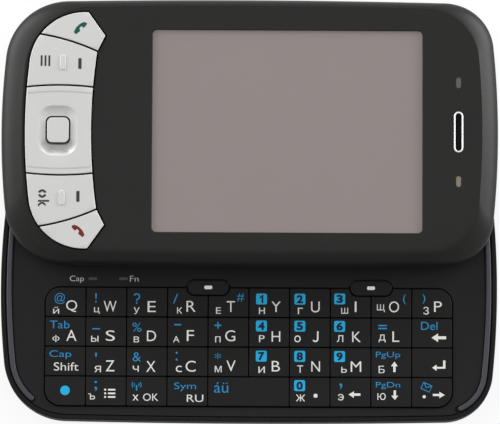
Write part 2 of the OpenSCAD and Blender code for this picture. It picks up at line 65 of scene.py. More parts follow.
# Marks on each key: what it is, its ink, its middle from the key's middle, then its width and height,
# all in millimetres
KEY_MARKS = {
    "q": [("Q", "white", 1.3, -1.0, 2.4, 2.6), ("@", "blue", -1.3, 0.7, 2.3, 2.4),
          ("й", "white", -2.1, -1.9, 1.3, 1.5)],
    "w": [("W", "white", 0.8, -1.0, 2.8, 2.4), ("!", "blue", -2.3, 0.9, 0.4, 2.1),
          ("ц", "white", -2.1, -1.9, 1.2, 1.4)],
    "e": [("E", "white", 1.0, -1.0, 1.8, 2.4), ("?", "blue", -2.3, 0.8, 1.5, 2.3),
          ("у", "white", -2.3, -1.9, 1.3, 1.5)],
    "r": [("R", "white", 0.7, -0.9, 2.0, 2.4), ("/", "blue", -2.7, 0.8, 1.1, 2.2),
          ("к", "white", -1.8, -1.8, 1.1, 1.4)],
    "t": [("T", "white", 0.5, -0.9, 1.8, 2.4), ("#", "blue", 2.6, 1.1, 1.6, 1.9),
          ("E", "white", -2.2, -1.8, 1.1, 1.4)],
    "y": [("1", "box", -1.7, 0.8, 2.4, 2.4), ("н", "white", -1.6, -1.8, 1.3, 1.4),
          ("Y", "white", 1.5, -0.9, 2.0, 2.3)],
    "u": [("2", "box", -2.2, 0.8, 2.4, 2.4), ("г", "white", -2.1, -1.8, 1.1, 1.4),
          ("U", "white", 1.2, -0.9, 1.9, 2.4)],
    "i": [("3", "box", -2.4, 0.9, 2.4, 2.4), ("ш", "white", -1.3, -1.7, 1.5, 1.3),
          ("I", "white", 1.1, -0.8, 0.4, 2.3)],
    "o": [("щ", "white", -2.3, -1.1, 1.7, 1.7), ("O", "white", 0.6, -0.8, 2.2, 2.4),
          ("(", "blue", 2.9, 0.9, 0.7, 2.3)],
    "p": [(")", "blue", -1.8, 1.0, 0.7, 2.2), ("з", "white", -1.3, -1.6, 1.2, 1.7),
          ("P", "white", 1.3, -0.7, 1.7, 2.3)],
    "a": [("A", "white", 1.3, -0.9, 2.2, 2.4), ("Tab", "blue", -1.3, 1.5, 4.3, 1.7),
          ("ф", "white", -2.1, -1.6, 1.5, 1.5)],
    "s": [("S", "white", 0.9, -0.9, 2.0, 2.3), ("bar", "blue", -2.2, 0.6, 1.7, 0.25),
          ("ы", "white", -2.5, -1.6, 1.6, 1.3)],
    "d": [("D", "white", 1.0, -0.9, 2.0, 2.3), ("%", "blue", -2.2, 1.0, 2.0, 2.0),
          ("в", "white", -2.3, -1.7, 1.2, 1.3)],
    "f": [("F", "white", 0.6, -0.8, 1.6, 2.4), ("bar", "blue", -2.2, 1.6, 1.6, 0.3),
          ("A", "white", -2.5, -1.6, 1.4, 1.4)],
    "g": [("G", "white", 0.4, -0.8, 2.2, 2.4), ("plus", "blue", -2.3, 1.5, 1.5, 1.5),
          ("п", "white", -2.3, -1.6, 1.2, 1.3)],
    "h": [("4", "box", -1.7, 1.4, 2.4, 2.4), ("P", "white", -1.6, -1.4, 1.2, 1.5),
          ("H", "white", 1.5, -0.9, 1.9, 2.3)],
    "j": [("5", "box", -2.2, 1.4, 2.4, 2.4), ("o", "white", -2.7, -1.4, 1.4, 1.5),
          ("J", "white", 1.2, -0.9, 1.4, 2.4)],
    "k": [("6", "box", -2.4, 1.4, 2.4, 2.4), ("л", "white", -2.3, -1.3, 1.4, 1.5),
          ("K", "white", 1.3, -0.9, 1.9, 2.3)],
    "l": [("equals", "blue", -1.9, 1.3, 1.9, 1.1), ("д", "white", -2.0, -1.2, 1.5, 1.7),
          ("L", "white", 1.0, -0.8, 1.5, 2.3)],
    "delete": [("Del", "blue", -0.6, 1.6, 3.6, 1.8), ("arrow_left", "white", 1.5, -1.0, 3.2, 1.9)],
    "shift": [("Shift", "white", 0.2, -1.2, 5.4, 1.8), ("Cap", "blue", -1.1, 1.4, 4.8, 1.9)],
    "z": [("Z", "white", 0.9, -1.0, 1.9, 2.4), ("'", "blue", -2.2, 1.4, 0.4, 0.9),
          ("я", "white", -1.8, -1.7, 1.4, 1.4)],
    "x": [("X", "white", 0.9, -1.1, 2.0, 2.4), ("&", "blue", -2.2, 1.0, 1.8, 2.0),
          ("ч", "white", -2.4, -1.6, 1.3, 1.3)],
    "c": [("C", "white", 0.7, -1.0, 2.2, 2.4), (":", "blue", -2.4, 1.2, 0.45, 2.0),
          ("c", "white", -1.9, -1.6, 1.3, 1.4)],
    "v": [("V", "white", 0.6, -0.9, 2.0, 2.4), ("*", "blue", -2.3, 1.3, 1.4, 1.3),
          ("м", "white", -2.2, -1.6, 1.5, 1.4)],
    "b": [("7", "box", -1.7, 1.3, 2.4, 2.4), ("и", "white", -1.6, -1.7, 1.4, 1.4),
          ("B", "white", 1.5, -0.9, 1.8, 2.3)],
    "n": [("8", "box", -2.2, 1.3, 2.4, 2.4), ("T", "white", -2.1, -1.5, 1.3, 1.6),
          ("N", "white", 1.3, -0.9, 1.9, 2.3)],
    "m": [("9", "box", -2.4, 1.3, 2.4, 2.4), ("ь", "white", -1.4, -1.6, 1.2, 1.3),
          ("M", "white", 1.2, -0.9, 2.3, 2.3)],
    "up": [("PgUp", "blue", -0.7, 1.6, 5.3, 1.6), ("Б", "white", -2.1, -1.5, 1.3, 1.6),
           ("arrow_up", "white", 0.7, -0.9, 1.5, 2.3)],
    "enter": [("arrow_enter", "white", 1.5, -0.6, 2.9, 2.3)],
    "function": [("disc", "cyan", 0.0, 0.1, 2.1, 2.1)],
    "menu": [("list", "white", 0.8, -0.5, 2.6, 2.2), (";", "blue", -2.2, 1.1, 0.6, 2.2),
             ("ъ", "white", -3.1, -1.2, 1.5, 1.3)],
    "ok": [("OK", "white", 0.9, -1.3, 3.3, 1.6), ("waves", "blue", -2.2, 1.1, 2.3, 1.9),
           ("x", "white", -2.4, -1.4, 1.3, 1.3)],
    "symbol": [("RU", "white", 1.7, -1.5, 3.6, 1.6), ("Sym", "blue", -0.5, 1.0, 4.8, 1.9)],
    "space": [("áü", "blue", -6.0, 0.9, 3.1, 2.3)],
    "period": [("0", "box", -2.2, 1.4, 2.4, 2.4), ("ж", "white", -2.0, -1.3, 2.0, 1.5),
               ("bar", "white", 1.3, -0.8, 0.8, 0.8)],
    "left": [(",", "blue", -2.1, 1.3, 0.6, 1.3), ("э", "white", -2.1, -1.1, 1.3, 1.4),
             ("arrow_left", "white", 0.9, -0.5, 2.6, 1.5)],
    "down": [("PgDn", "blue", -0.7, 1.5, 5.3, 1.6), ("ю", "white", -2.1, -0.9, 1.8, 1.5),
             ("arrow_down", "white", 0.8, -0.6, 1.5, 2.1)],
    "right": [("letter", "blue", -1.2, 1.2, 2.5, 2.3), ("disc", "white", -1.7, -0.9, 0.7, 0.7),
              ("arrow_right", "white", 1.5, -0.5, 2.6, 1.4)],
}


def size_mm(node):
    """Lowest corner and highest corner of a node of the frame, in millimetres."""
    low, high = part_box(node)
    return Vector(low) / MM, Vector(high) / MM


TUB_LOW, TUB_HIGH = size_mm("base_tub")
BEZEL_LOW, BEZEL_HIGH = size_mm("slide_bezel")
BACK_LOW = size_mm("slide_back")[0]
BODY_LENGTH = TUB_HIGH.x - TUB_LOW.x
BODY_WIDTH = TUB_HIGH.y - TUB_LOW.y
LOWER_Y = (TUB_LOW.y + TUB_HIGH.y) / 2
UPPER_Y = (BEZEL_LOW.y + BEZEL_HIGH.y) / 2
DECK_TOP = TUB_HIGH.z
FRONT_Z = BEZEL_HIGH.z
EAR_LOW, EAR_HIGH = size_mm("earpiece")
EAR_X = (EAR_LOW.x + EAR_HIGH.x) / 2

# Sizes of the lower half, in millimetres. Three in brackets are a width, a height and a corner radius.
TUB_LIP = 0.3
TUB_LEDGE, TUB_LEDGE_Z = 2.2, 3.6
TUB_INSIDE, TUB_FLOOR = 3.8, 1.8
DECK_THICKNESS = 1.1
DECK_GAP = 0.22
TRIM_DEPTH, TRIM_HEIGHT = 0.6, 0.2
COVER_CORNER, COVER_GAP, COVER_EDGE = 4, 0.1, 0.15
BATTERY_BAY = (54.6, 38.6, 1.5)
CAMERA_X, CAMERA_Y = BODY_LENGTH / 2 - 10.5, LOWER_Y + 12
SPEAKER_SLOT = (8, 1, 0.45)
SPEAKER_Y, SPEAKER_PITCH = LOWER_Y - 8, 2.2
SOCKET_Z = 4.1
SOCKET_MOUTH = (7.5, 2.8, 0.6)
COLUMNS = 10
LAST_ROW = len(KEY_ROWS) - 1
KEY_CORNER = 0.25
CAP_DEPTH = 1.0
STEM_RADIUS, STEM_HOLE = 1.4, 1.7
SOFT_KEY_LENGTH, SOFT_KEY_WIDTH = 9.15, 3.25
SOFT_STEM_RADIUS, SOFT_STEM_HOLE = 0.9, 1.1
MAT_TOP, MAT_BOTTOM = DECK_TOP - 1.4, DECK_TOP - 1.55

# Sizes of the upper half, in the same way
FRONT_THICKNESS = 1.0
RING_WIDTH, RING_LENGTH, RING_BAND = 2.05, 9.0, 0.34
STATUS_LAMP_Y = 10.9
# Insets and heights of the rounding under the back, and of the small foot of the bezel
BACK_EDGE = ((0.9, 0), (0.72, 0.06), (0.55, 0.16), (0.42, 0.3), (0.3, 0.48), (0.2, 0.68), (0.15, 0.9),
             (0.15, 2.6))
BEZEL_FOOT = ((0.12, 0), (0.02, 0.1), (0, 0.25))
BEVEL_STEPS = 18
BEZEL_SMOOTH = 12
RAIL_WIDTH, SLOT_PLAY = 5.2, 0.3
DISH, DISH_STEPS = (8.8, 11.2, 3.2), 12
CENTRE_KEY = (4.7, 5.5, 1.1)
# Lift of a print over what it lies on, and of one stroke over another; width of a thin stroke
INK_LIFT, STROKE_LIFT = 0.012, 0.004
STROKE = 0.3

# Parts of the keypad's outline, from the middle of its left edge, which PAD_X places on the phone
PAD_X = -BODY_LENGTH / 2 + 5.3
PAD_MIDDLE_X = 7.2
PAD_END_RADIUS = 125
PAD_CORNER = (12.97, 14.0, 12.1)
PAD_TOP_X = 13.72
PAD_TIP = (17.4, 20.9)
PAD_SIDE_X, PAD_SIDE_RADIUS, PAD_SIDE_REACH = 14.4, 122, 17.4
# Each split between two front keys: its two ends and the radius of its arc
OUTER_SPLIT = ((3.4, 21.2), (15.8, 17.4), 48.0)
INNER_SPLIT = ((0.3, 9.5), (14.9, 9.5), 62.0)

# Finishes: size of the slow change of tone, depth of the grain, change of gloss and gloss of a clear coat
CLOUD_SCALE = 90
GRAIN_DEPTH = 0.00003
GLOSS_SPREAD = 0.06
COAT_ROUGHNESS = 0.12

# Lamps: bearing (0 = earpiece end) and height in degrees, and depth in metres
LAMPS = {"top": (90, 86, 0.8), "right": (28, 9, 0.22), "left": (149, 11, 0.26)}
LAMP_DISTANCE, LAMP_WIDTH = 0.9, 0.8
FLOOR_DROP = 0.0002
FLOOR_GLOW = 0.84
WHITE = (1, 1, 1, 1)
# Point in the middle of the picture, in millimetres
CAMERA_TARGET = (0.144, 0.030, 8.0)


# ---- Values a user may change ----

def length(name, description, value):
    """Length in millimetres, kept in metres."""
    return FloatProperty(name=name, description=description, default=value * MM, precision=6, unit="LENGTH")


def angle(name, description, value):
    """Angle in degrees, kept in radians."""
    return FloatProperty(name=name, description=description, default=math.radians(value),
                         subtype="ANGLE", unit="ROTATION")


def power(name, description, value):
    """Power of a lamp in watts."""
    return FloatProperty(name=name, description=description, default=value, unit="POWER")


def colour(name, description, value):
    """Colour of a paint, plastic or ink."""
    return FloatVectorProperty(name=name, description=description, default=value, size=3, subtype="COLOR")


class HousingSettings(bpy.types.PropertyGroup):
    """Outline, bevels and paints of the two housings"""
    end_radius: length("Earpiece end radius", "Radius of the bowed end beside the earpiece", 190)
    left_end_radius: length("Keypad end radius", "Radius of the bowed end beside the keypad", 160)
    side_radius: length("Side radius", "Radius of the bowed long sides", 2000)
    corner_radius: length("Earpiece corner radius", "Radius of the corners beside the earpiece", 10.8)
    left_corner_radius: length("Keypad corner radius", "Radius of the corners beside the keypad", 13.8)
    foot_width: length("Foot width", "Width of the rounding round the underside", 3)
    foot_height: length("Foot height", "Height of the rounding round the underside", 3.2)
    rim_width: length("Rim width", "Width of the rim round the keyboard deck", 0.95)
    trim_inset: length("Trim inset", "Outline to the end trims", 1.3)
    trim_width: length("Trim width", "Width of the end trims", 1.15)
    bevel_right: length("Bevel at earpiece", "Width of the front bevel at the earpiece end", 3.6)
    bevel_left: length("Bevel at keypad", "Width of the front bevel at the keypad end", 4.5)
    bevel_far: length("Bevel at far side", "Width of the front bevel at the far long side", 1.8)
    bevel_near: length("Bevel at near side", "Width of the front bevel above the keyboard", 3.8)
    bevel_base: length("Bevel base", "Height of the upright wall under the front bevel", 1.4)
    crease_corner: length("Crease corner at earpiece", "Corners of the flat front beside the earpiece", 11.8)
    left_crease_corner: length("Crease corner at keypad", "Corners of the flat front beside the keypad", 15)
    crease: angle("Crease", "Turn of the bevel where it meets the flat front", 68)
    lip: length("Lip", "Rounding of the small edges", 0.15)
    corner_steps: IntProperty(name="Corner steps", description="Faces round each corner", default=28, min=6)
    shell_colour: colour("Shell colour", "Soft-touch paint of the rear shells", (0.012, 0.012, 0.0125))
    bezel_colour: colour("Bezel colour", "Soft-touch paint of the front", (0.0118, 0.0114, 0.0109))
    deck_colour: colour("Deck colour", "Matt black of the keyboard deck", (0.0166, 0.0166, 0.0169))
    trim_colour: colour("Trim colour", "Glossy strips at the ends of the deck", (0.040, 0.043, 0.050))


class ScreenSettings(bpy.types.PropertyGroup):
    """Screen and status windows"""
    window_width: length("Window width", "Width of the screen window", 59.2)
    window_height: length("Window height", "Height of the screen window", 44.7)
    window_offset: length("Window offset", "Middle of the window from the middle of the phone", 8.2)
    window_corner: length("Window corner", "Radius of the window's corners", 1)
    window_depth: length("Window depth", "Front to the face of the screen", 0.32)
    glass_colour: colour("Screen colour", "Unlit touch screen", (0.228, 0.193, 0.187))
    status_colour: colour("Status window colour", "Upper status window", (0.047, 0.045, 0.046))
    status_amber: colour("Lower status window colour", "Lower status window", (0.150, 0.140, 0.095))


class KeyboardSettings(bpy.types.PropertyGroup):
    """Keyboard, its keys and its inks"""
    row_pitch: length("Row pitch", "Distance between rows of keys", 6.55)
    field_side: length("Field side", "Keyboard to the ends of the lower half", 9.85)
    field_edge: length("Field edge", "Keyboard to the lower edge", 3.3)
    field_corner: length("Field corner", "Radius of the keyboard's corners", 3.4)
    key_gap: length("Key gap", "Gap between two keys", 0.24)
    key_lip: length("Key edge", "Rounding of each key's edge", 0.14)
    label_lift: length("Print height", "Thickness of the printed legends", 0.012)
    key_colour: colour("Key colour", "Matt black of the keys", (0.0145, 0.0145, 0.0146))
    white_ink: colour("White ink", "Letters", (0.75, 0.73, 0.70))
    blue_ink: colour("Blue ink", "Second function of each key", (0.019, 0.235, 0.480))
    cyan_ink: colour("Cyan ink", "Boxes behind the numbers", (0.011, 0.375, 0.670))
    dark_ink: colour("Dark ink", "Numbers in the boxes", (0.008, 0.010, 0.030))
    grey_ink: colour("Grey ink", "Lamp labels on the deck", (0.52, 0.52, 0.52))


class FrontKeySettings(bpy.types.PropertyGroup):
    """Front keys and their inks"""
    gap: length("Gap", "Gap round each front key", 0.3)
    lip: length("Edge", "Rounding of each front key's edge", 0.15)
    dish_depth: length("Dish depth", "Depth of the dish, before its two ends are deepened", 0.65)
    silver_colour: colour("Silver colour", "Satin paint of the front keys", (0.525, 0.525, 0.517))
    grey_ink: colour("Grey ink", "Marks on the rockers", (0.045, 0.043, 0.041))
    green_ink: colour("Green ink", "Handset of the call key", (0.008, 0.075, 0.058))
    red_ink: colour("Red ink", "Handset of the end key", (0.170, 0.022, 0.014))


class StageSettings(bpy.types.PropertyGroup):
    """Table, lamps and camera"""
    floor_size: length("Floor size", "Side of the floor", 4000)
    floor_colour: colour("Floor colour", "White table", (0.95, 0.95, 0.95))
    sky_strength: FloatProperty(name="Sky strength", description="Soft light from all round", default=0.43)
    top_power: power("Top lamp", "Power of the large lamp above", 2.05)
    right_power: power("Right lamp", "Power of the lamp beyond the earpiece end", 13.8)
    left_power: power("Left lamp", "Power of the lamp beyond the keypad end", 12.4)
    camera_lens: FloatProperty(name="Lens", description="Focal length of the camera", default=425.5,
                               unit="CAMERA")
    camera_distance: length("Camera distance", "Camera to the middle of the phone", 1300)
    camera_height: angle("Camera elevation", "Angle of the camera above the table", 82.895)
    camera_turn: angle("Camera azimuth", "Turn of the camera round the phone", 1.236)
    camera_roll: angle("Camera roll", "Turn of the picture", 1.52)


SETTINGS = {
    "phone_housing": HousingSettings,
    "phone_screen": ScreenSettings,
    "phone_keyboard": KeyboardSettings,
    "phone_front_keys": FrontKeySettings,
    "phone_stage": StageSettings,
}


# ---- Outlines, in millimetres, counter-clockwise ----

def arc(cx, cy, radius, start, end, steps):
    """Points on an arc from one angle to another, in degrees, with both ends."""
    angles = [math.radians(start + (end - start) * i / steps) for i in range(steps + 1)]
    return [(cx + radius * math.cos(a), cy + radius * math.sin(a)) for a in angles]


def disc(cx, cy, radius, corners=24):
    """Circle with that many corners."""
    return arc(cx, cy, radius, 0, 360 - 360 / corners, corners - 1)


def quarter_round(steps):
    """Sine and cosine of angles from 0 to 90 degrees."""
    angles = [math.pi / 2 * i / steps for i in range(steps + 1)]
    return [(math.sin(a), math.cos(a)) for a in angles]


def corner_centre(a, b, end_r, side_r, corner_r):
    """Centre of the corner arc that touches an end arc and a side arc from inside."""
    e, s = Vector((a - end_r, 0)), Vector((0, b - side_r))
    d = (s - e).length
    u = (s - e) / d
    along = ((end_r - corner_r) ** 2 - (side_r - corner_r) ** 2 + d * d) / (2 * d)
    off = math.sqrt((end_r - corner_r) ** 2 - along * along)
    return e + along * u + off * Vector((-u.y, u.x))


def quarter_outline(dx, dy, end_r, corner_r):
    """First quarter of the outline, drawn in at the ends and at the sides, with its own corner radius."""
    look = bpy.context.scene.phone_housing
    a, b = BODY_LENGTH / 2 - dx, BODY_WIDTH / 2 - dy
    end_r, side_r = end_r - dx, look.side_radius / MM - dy
    c = corner_centre(a, b, end_r, side_r, corner_r)
    t0 = math.degrees(math.atan2(c.y, c.x - a + end_r))
    t1 = math.degrees(math.atan2(c.y - b + side_r, c.x))
    quarter = arc(a - end_r, 0, end_r, 0, t0, 8)[:-1]
    quarter += arc(c.x, c.y, corner_r, t0, t1, look.corner_steps)[:-1]
    return quarter + arc(0, b - side_r, side_r, t1, 90, 8)


def body_outline(dx, dy=None, left_dx=None, near_dy=None, corners=None):
    """Outline shared by both halves, round the origin, drawn in by dx at the ends and by dy at the sides.

    left_dx and near_dy are for the keypad's end and the near side where these differ, and corners are
    the radii at the earpiece end and the keypad end."""
    look = bpy.context.scene.phone_housing
    dy = dx if dy is None else dy
    left_dx = dx if left_dx is None else left_dx
    near_dy = dy if near_dy is None else near_dy
    if corners is None:
        corners = (look.corner_radius / MM - (dx + dy) / 2, look.left_corner_radius / MM - (left_dx + dy) / 2)
    ends = (look.end_radius / MM, look.left_end_radius / MM)
    right, near_right, left, near_left = (
        quarter_outline(inset, depth, ends[side], corners[side])
        for side, inset in enumerate((dx, left_dx)) for depth in (dy, near_dy))
    far = right + [(-x, y) for x, y in left[-2::-1]]
    return far + [(-x, -y) for x, y in near_left[1:]] + [(x, -y) for x, y in near_right[-2:0:-1]]


def rounded_box(width, height, radius, steps=8, cx=0.0, cy=0.0):
    """Rectangle with rounded corners."""
    points = []
    for sx, sy, start in ((1, 1, 0), (-1, 1, 90), (-1, -1, 180), (1, -1, 270)):
        x, y = cx + sx * (width / 2 - radius), cy + sy * (height / 2 - radius)
        points += arc(x, y, radius, start, start + 90, steps)
    return clean(points)


def clean(points, least=1e-4):
    """The outline without points that lie on the one before."""
    kept = []
    for p in points:
        if not kept or math.dist(p, kept[-1]) > least:
            kept.append(p)
    if math.dist(kept[0], kept[-1]) <= least:
        kept.pop()
    return kept


def drawn_in(points, depth):
    """Outline moved inwards by depth, or outwards where depth is negative."""
    moved = []
    n = len(points)
    for i in range(n):
        before, here, after = (Vector(points[(i + k) % n]) for k in (-1, 0, 1))
        d1, d2 = (here - before).normalized(), (after - here).normalized()
        n1, n2 = Vector((-d1.y, d1.x)), Vector((-d2.y, d2.x))
        bisector = n1 + n2
        bisector = bisector / max(bisector.length_squared, 0.5) * 2
        moved.append(tuple(here + bisector * depth))
    return moved


def area_of(points):
    """Area of an outline, below zero where it runs clockwise."""
    return sum(a[0] * b[1] - b[0] * a[1] for a, b in zip(points, points[1:] + points[:1])) / 2


def bends_inwards(points):
    """True if an outline turns both ways, so that one flat face would be hard to split."""
    turns = [(b[0] - a[0]) * (c[1] - b[1]) - (b[1] - a[1]) * (c[0] - b[0])
             for a, b, c in zip(points, points[1:] + points[:1], points[2:] + points[:2])]
    return min(turns) < -1e-5 and max(turns) > 1e-5


def within(outline, point):
    """Whether a point lies inside an outline."""
    inside = False
    for a, b in zip(outline, outline[1:] + outline[:1]):
        if (a[1] > point[1]) != (b[1] > point[1]):
            inside ^= point[0] < (b[0] - a[0]) * (point[1] - a[1]) / (b[1] - a[1]) + a[0]
    return inside


def shifted(points, dx, dy):
    """The outline moved sideways."""
    return [(x + dx, y + dy) for x, y in points]


def dense(points, step):
    """The same outline with points no further apart than step."""
    out = []
    for i, p in enumerate(points):
        q = points[(i + 1) % len(points)]
        n = max(1, math.ceil(math.dist(p, q) / step))
        out += [(p[0] + (q[0] - p[0]) * k / n, p[1] + (q[1] - p[1]) * k / n) for k in range(n)]
    return out


def run_of(points, wanted):
    """Places in a closed outline of the one run of points that pass a test, in order."""
    n = len(points)
    flags = [wanted(p) for p in points]
    start = next(i for i in range(n) if flags[i] and not flags[i - 1])
    return [(start + k) % n for k in range(n) if flags[(start + k) % n]]


def cut_by_circle(points, centre, radius, keep_inside):
    """The part of an outline inside or outside a circle that crosses it twice."""
    def kept(p):
        """Whether a point is on the side that stays."""
        return (math.dist(p, centre) < radius) == keep_inside

    def crossing(p, q):
        """Point between a kept and a lost one where the outline meets the circle."""
        for _ in range(40):
            m = ((p[0] + q[0]) / 2, (p[1] + q[1]) / 2)
            p, q = (m, q) if kept(m) else (p, m)
        return p

    order = run_of(points, kept)
    run = [points[i] for i in order]
    first = crossing(run[0], points[order[0] - 1])
    last = crossing(run[-1], points[(order[-1] + 1) % len(points)])
    a0 = math.degrees(math.atan2(last[1] - centre[1], last[0] - centre[0]))
    a1 = math.degrees(math.atan2(first[1] - centre[1], first[0] - centre[0]))
    a1 += 360 * round((a0 - a1) / 360)
    return clean(run + arc(centre[0], centre[1], radius, a0, a1, 28))


def split_flat(loops, wanted):
    """Splits a flat area between closed loops into faces, and keeps those whose middle passes a test."""
    flat, edges = [], []
    for loop in loops:
        first = len(flat)
        flat += [Vector(p) for p in loop]
        edges += [(first + i, first + (i + 1) % len(loop)) for i in range(len(loop))]
    points, _, faces, _, _, _ = geometry.delaunay_2d_cdt(flat, edges, [], 1, 1e-6)
    middles = [sum((points[i] for i in face), Vector((0, 0))) / len(face) for face in faces]
    return points, [face for face, middle in zip(faces, middles) if wanted(middle)]


# ---- Meshes ----

class Shape:
    """Points and faces of one piece, in millimetres, with a finish for each face."""

    def __init__(self):
        self.points, self.faces, self.finishes = [], [], []

    def add_points(self, outline, z):
        """Adds a row of points at one height, or each at its own from a list."""
        first = len(self.points)
        heights = z if isinstance(z, list) else [z] * len(outline)
        self.points += [(x, y, height) for (x, y), height in zip(outline, heights)]
        return first

    def add_face(self, corners, finish=0):
        """Adds one face by the numbers of its points."""
        self.faces.append(corners)
        self.finishes.append(finish)

    def skin(self, lower, upper, count, finish=0):
        """Faces between two closed rows of points."""
        for i in range(count):
            j = (i + 1) % count
            self.add_face((lower + i, lower + j, upper + j, upper + i), finish)

    def stack(self, levels, finish=0):
        """Walls through rows of (outline, height), from the first to the last."""
        rows = [self.add_points(outline, z) for outline, z in levels]
        for a, b in zip(rows, rows[1:]):
            self.skin(a, b, len(levels[0][0]), finish)

    def fill(self, outline, holes, z, finish=0, facing_down=False):
        """Flat face inside an outline and outside its holes."""
        if holes or bends_inwards(outline):
            points, faces = split_flat([outline, *holes], lambda middle: within(outline, middle)
                                       and not any(within(hole, middle) for hole in holes))
        else:
            points, faces = [Vector(p) for p in outline], [tuple(range(len(outline)))]
        first = self.add_points([tuple(p) for p in points], z)
        for face in faces:
            corners = tuple(first + i for i in face)
            self.add_face(corners[::-1] if facing_down else corners, finish)

    def upright(self, outline, bottom, top, finish=0):
        """Upright wall, which faces inwards if the outline runs clockwise."""
        self.stack([(outline, bottom), (outline, top)], finish)

    def plate(self, outline, holes, bottom, top, lip, finish=0, hole_lip=None, wall=None):
        """Flat plate with rounded upper edges. Its walls may have a finish of their own."""
        hole_lip = lip if hole_lip is None else hole_lip
        self.edge(outline, bottom, top, lip, finish, wall=wall)
        for hole in holes:
            self.edge(hole[::-1], bottom, top, hole_lip, finish, wall=wall)
        inner = [drawn_in(hole, -hole_lip) for hole in holes]
        self.fill(drawn_in(outline, lip), inner, top, finish)
        self.fill(outline, holes, bottom, finish, facing_down=True)

    def edge(self, outline, bottom, top, lip, finish=0, steps=4, wall=None):
        """Upright wall with a quarter-round at its top."""
        levels = [(drawn_in(outline, lip * (1 - c)), top - lip + lip * s) for s, c in quarter_round(steps)]
        self.stack([(outline, bottom), levels[0]], finish if wall is None else wall)
        self.stack(levels, finish)

    def slab(self, outline, bottom, top, finish=0):
        """Plain upright prism."""
        self.upright(outline, bottom, top, finish)
        self.fill(outline, [], top, finish)
        self.fill(outline, [], bottom, finish, facing_down=True)


def add_object(shape, name, finishes=(), move=(0, 0), closed=True):
    """Turns a shape into an object, joins touching points and turns a closed shape's faces outwards."""
    mesh = bpy.data.meshes.new(name)
    points = [((x + move[0]) * MM, (y + move[1]) * MM, z * MM) for x, y, z in shape.points]
    mesh.from_pydata(points, [], shape.faces)
    for finish in finishes:
        mesh.materials.append(finish)
    for face, index in zip(mesh.polygons, shape.finishes):
        face.material_index = index
    work = bmesh.new()
    work.from_mesh(mesh)
    bmesh.ops.remove_doubles(work, verts=work.verts, dist=2e-7)
    if closed:
        bmesh.ops.recalc_face_normals(work, faces=work.faces)
    work.to_mesh(mesh)
    work.free()
    thing = bpy.data.objects.new(name, mesh)
    bpy.context.scene.collection.objects.link(thing)
    return thing


def make_piece(shape, name, body, finishes, replaces=(), move=(0, 0), smooth=32, closed=True):
    """Turns a shape into a piece that rides on a body of the frame and may stand for some of its nodes."""
    piece = add_object(shape, name, finishes, move, closed)
    even_shading(piece, smooth)
    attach(piece, body)
    if replaces:
        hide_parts(*replaces)
    return piece


def make_print(shape, name, body, finishes, move):
    """Turns flat faces into a thin print on another piece."""
    return make_piece(shape, name, body, finishes, (), move, closed=False)


def even_shading(piece, smooth):
    """Rounds the shading of edges below an angle, in degrees, and keeps flat faces beside them flat."""
    piece.data.shade_smooth()
    piece.data.set_sharp_from_angle(angle=math.radians(smooth))
    even = piece.modifiers.new("Even shading", "WEIGHTED_NORMAL")
    even.keep_sharp = True
    even.weight = 100


def cut_away(piece, shape, smooth=32):
    """Takes a closed shape out of a piece."""
    piece.modifiers.clear()
    cutter = add_object(shape, "cutter")
    tool = piece.modifiers.new("Cut", "BOOLEAN")
    tool.operation, tool.solver, tool.object = "DIFFERENCE", "EXACT", cutter
    bpy.context.view_layer.update()
    result = bpy.data.meshes.new_from_object(piece.evaluated_get(bpy.context.evaluated_depsgraph_get()))
    piece.modifiers.remove(tool)
    used = cutter.data, piece.data
    piece.data = result
    result.name = piece.name
    bpy.data.objects.remove(cutter)
    for mesh in used:
        bpy.data.meshes.remove(mesh)
    even_shading(piece, smooth)


# ---- Finishes ----

def feed(tree, node, inputs):
    """Sets sockets of a shader node, each to a value or to an output of another node."""
    for socket, value in inputs.items():
        if isinstance(value, bpy.types.NodeSocket):
            tree.links.new(value, node.inputs[socket])
        else:
            node.inputs[socket].default_value = value


def add_node(tree, kind, inputs=None, **choices):
    """Adds a shader node with its choices made and its sockets set."""
    node = tree.nodes.new("ShaderNode" + kind)
    for choice, value in choices.items():
        setattr(node, choice, value)
    feed(tree, node, inputs or {})
    return node


def painted(name, base, roughness, grain=6000, bump=0.15, spread=0.18, coat=0.0, specular=0.5, metallic=0.0):
    """Procedural paint or plastic: fine grain, and a slow change of tone and gloss."""
    if name in bpy.data.materials:
        return bpy.data.materials[name]
    finish = bpy.data.materials.new(name)
    finish.use_nodes = True
    tree = finish.node_tree
    place = add_node(tree, "TexCoord").outputs["Object"]
    cloud = add_node(tree, "TexNoise", {"Scale": CLOUD_SCALE, "Detail": 4, "Vector": place}).outputs["Fac"]
    speck = add_node(tree, "TexNoise", {"Scale": grain, "Detail": 2, "Vector": place}).outputs["Fac"]
    tone = add_node(tree, "Mix", {
        "A": (*[c * (1 - spread) for c in base], 1),
        "B": (*[min(1, c * (1 + spread)) for c in base], 1),
        "Factor": cloud,
    }, data_type="RGBA")
    gloss = add_node(tree, "MapRange", {
        "To Min": max(0.02, roughness - GLOSS_SPREAD),
        "To Max": min(1, roughness + GLOSS_SPREAD),
        "Value": speck,
    })
    relief = add_node(tree, "Bump", {"Strength": bump, "Distance": GRAIN_DEPTH, "Height": speck})
    shader = tree.nodes["Principled BSDF"]
    feed(tree, shader, {
        "Base Color": tone.outputs["Result"],
        "Roughness": gloss.outputs["Result"],
        "Normal": relief.outputs["Normal"],
        "Specular IOR Level": specular,
        "Metallic": metallic,
    })
    if coat:
        feed(tree, shader, {"Coat Weight": coat, "Coat Roughness": COAT_ROUGHNESS})
    return finish


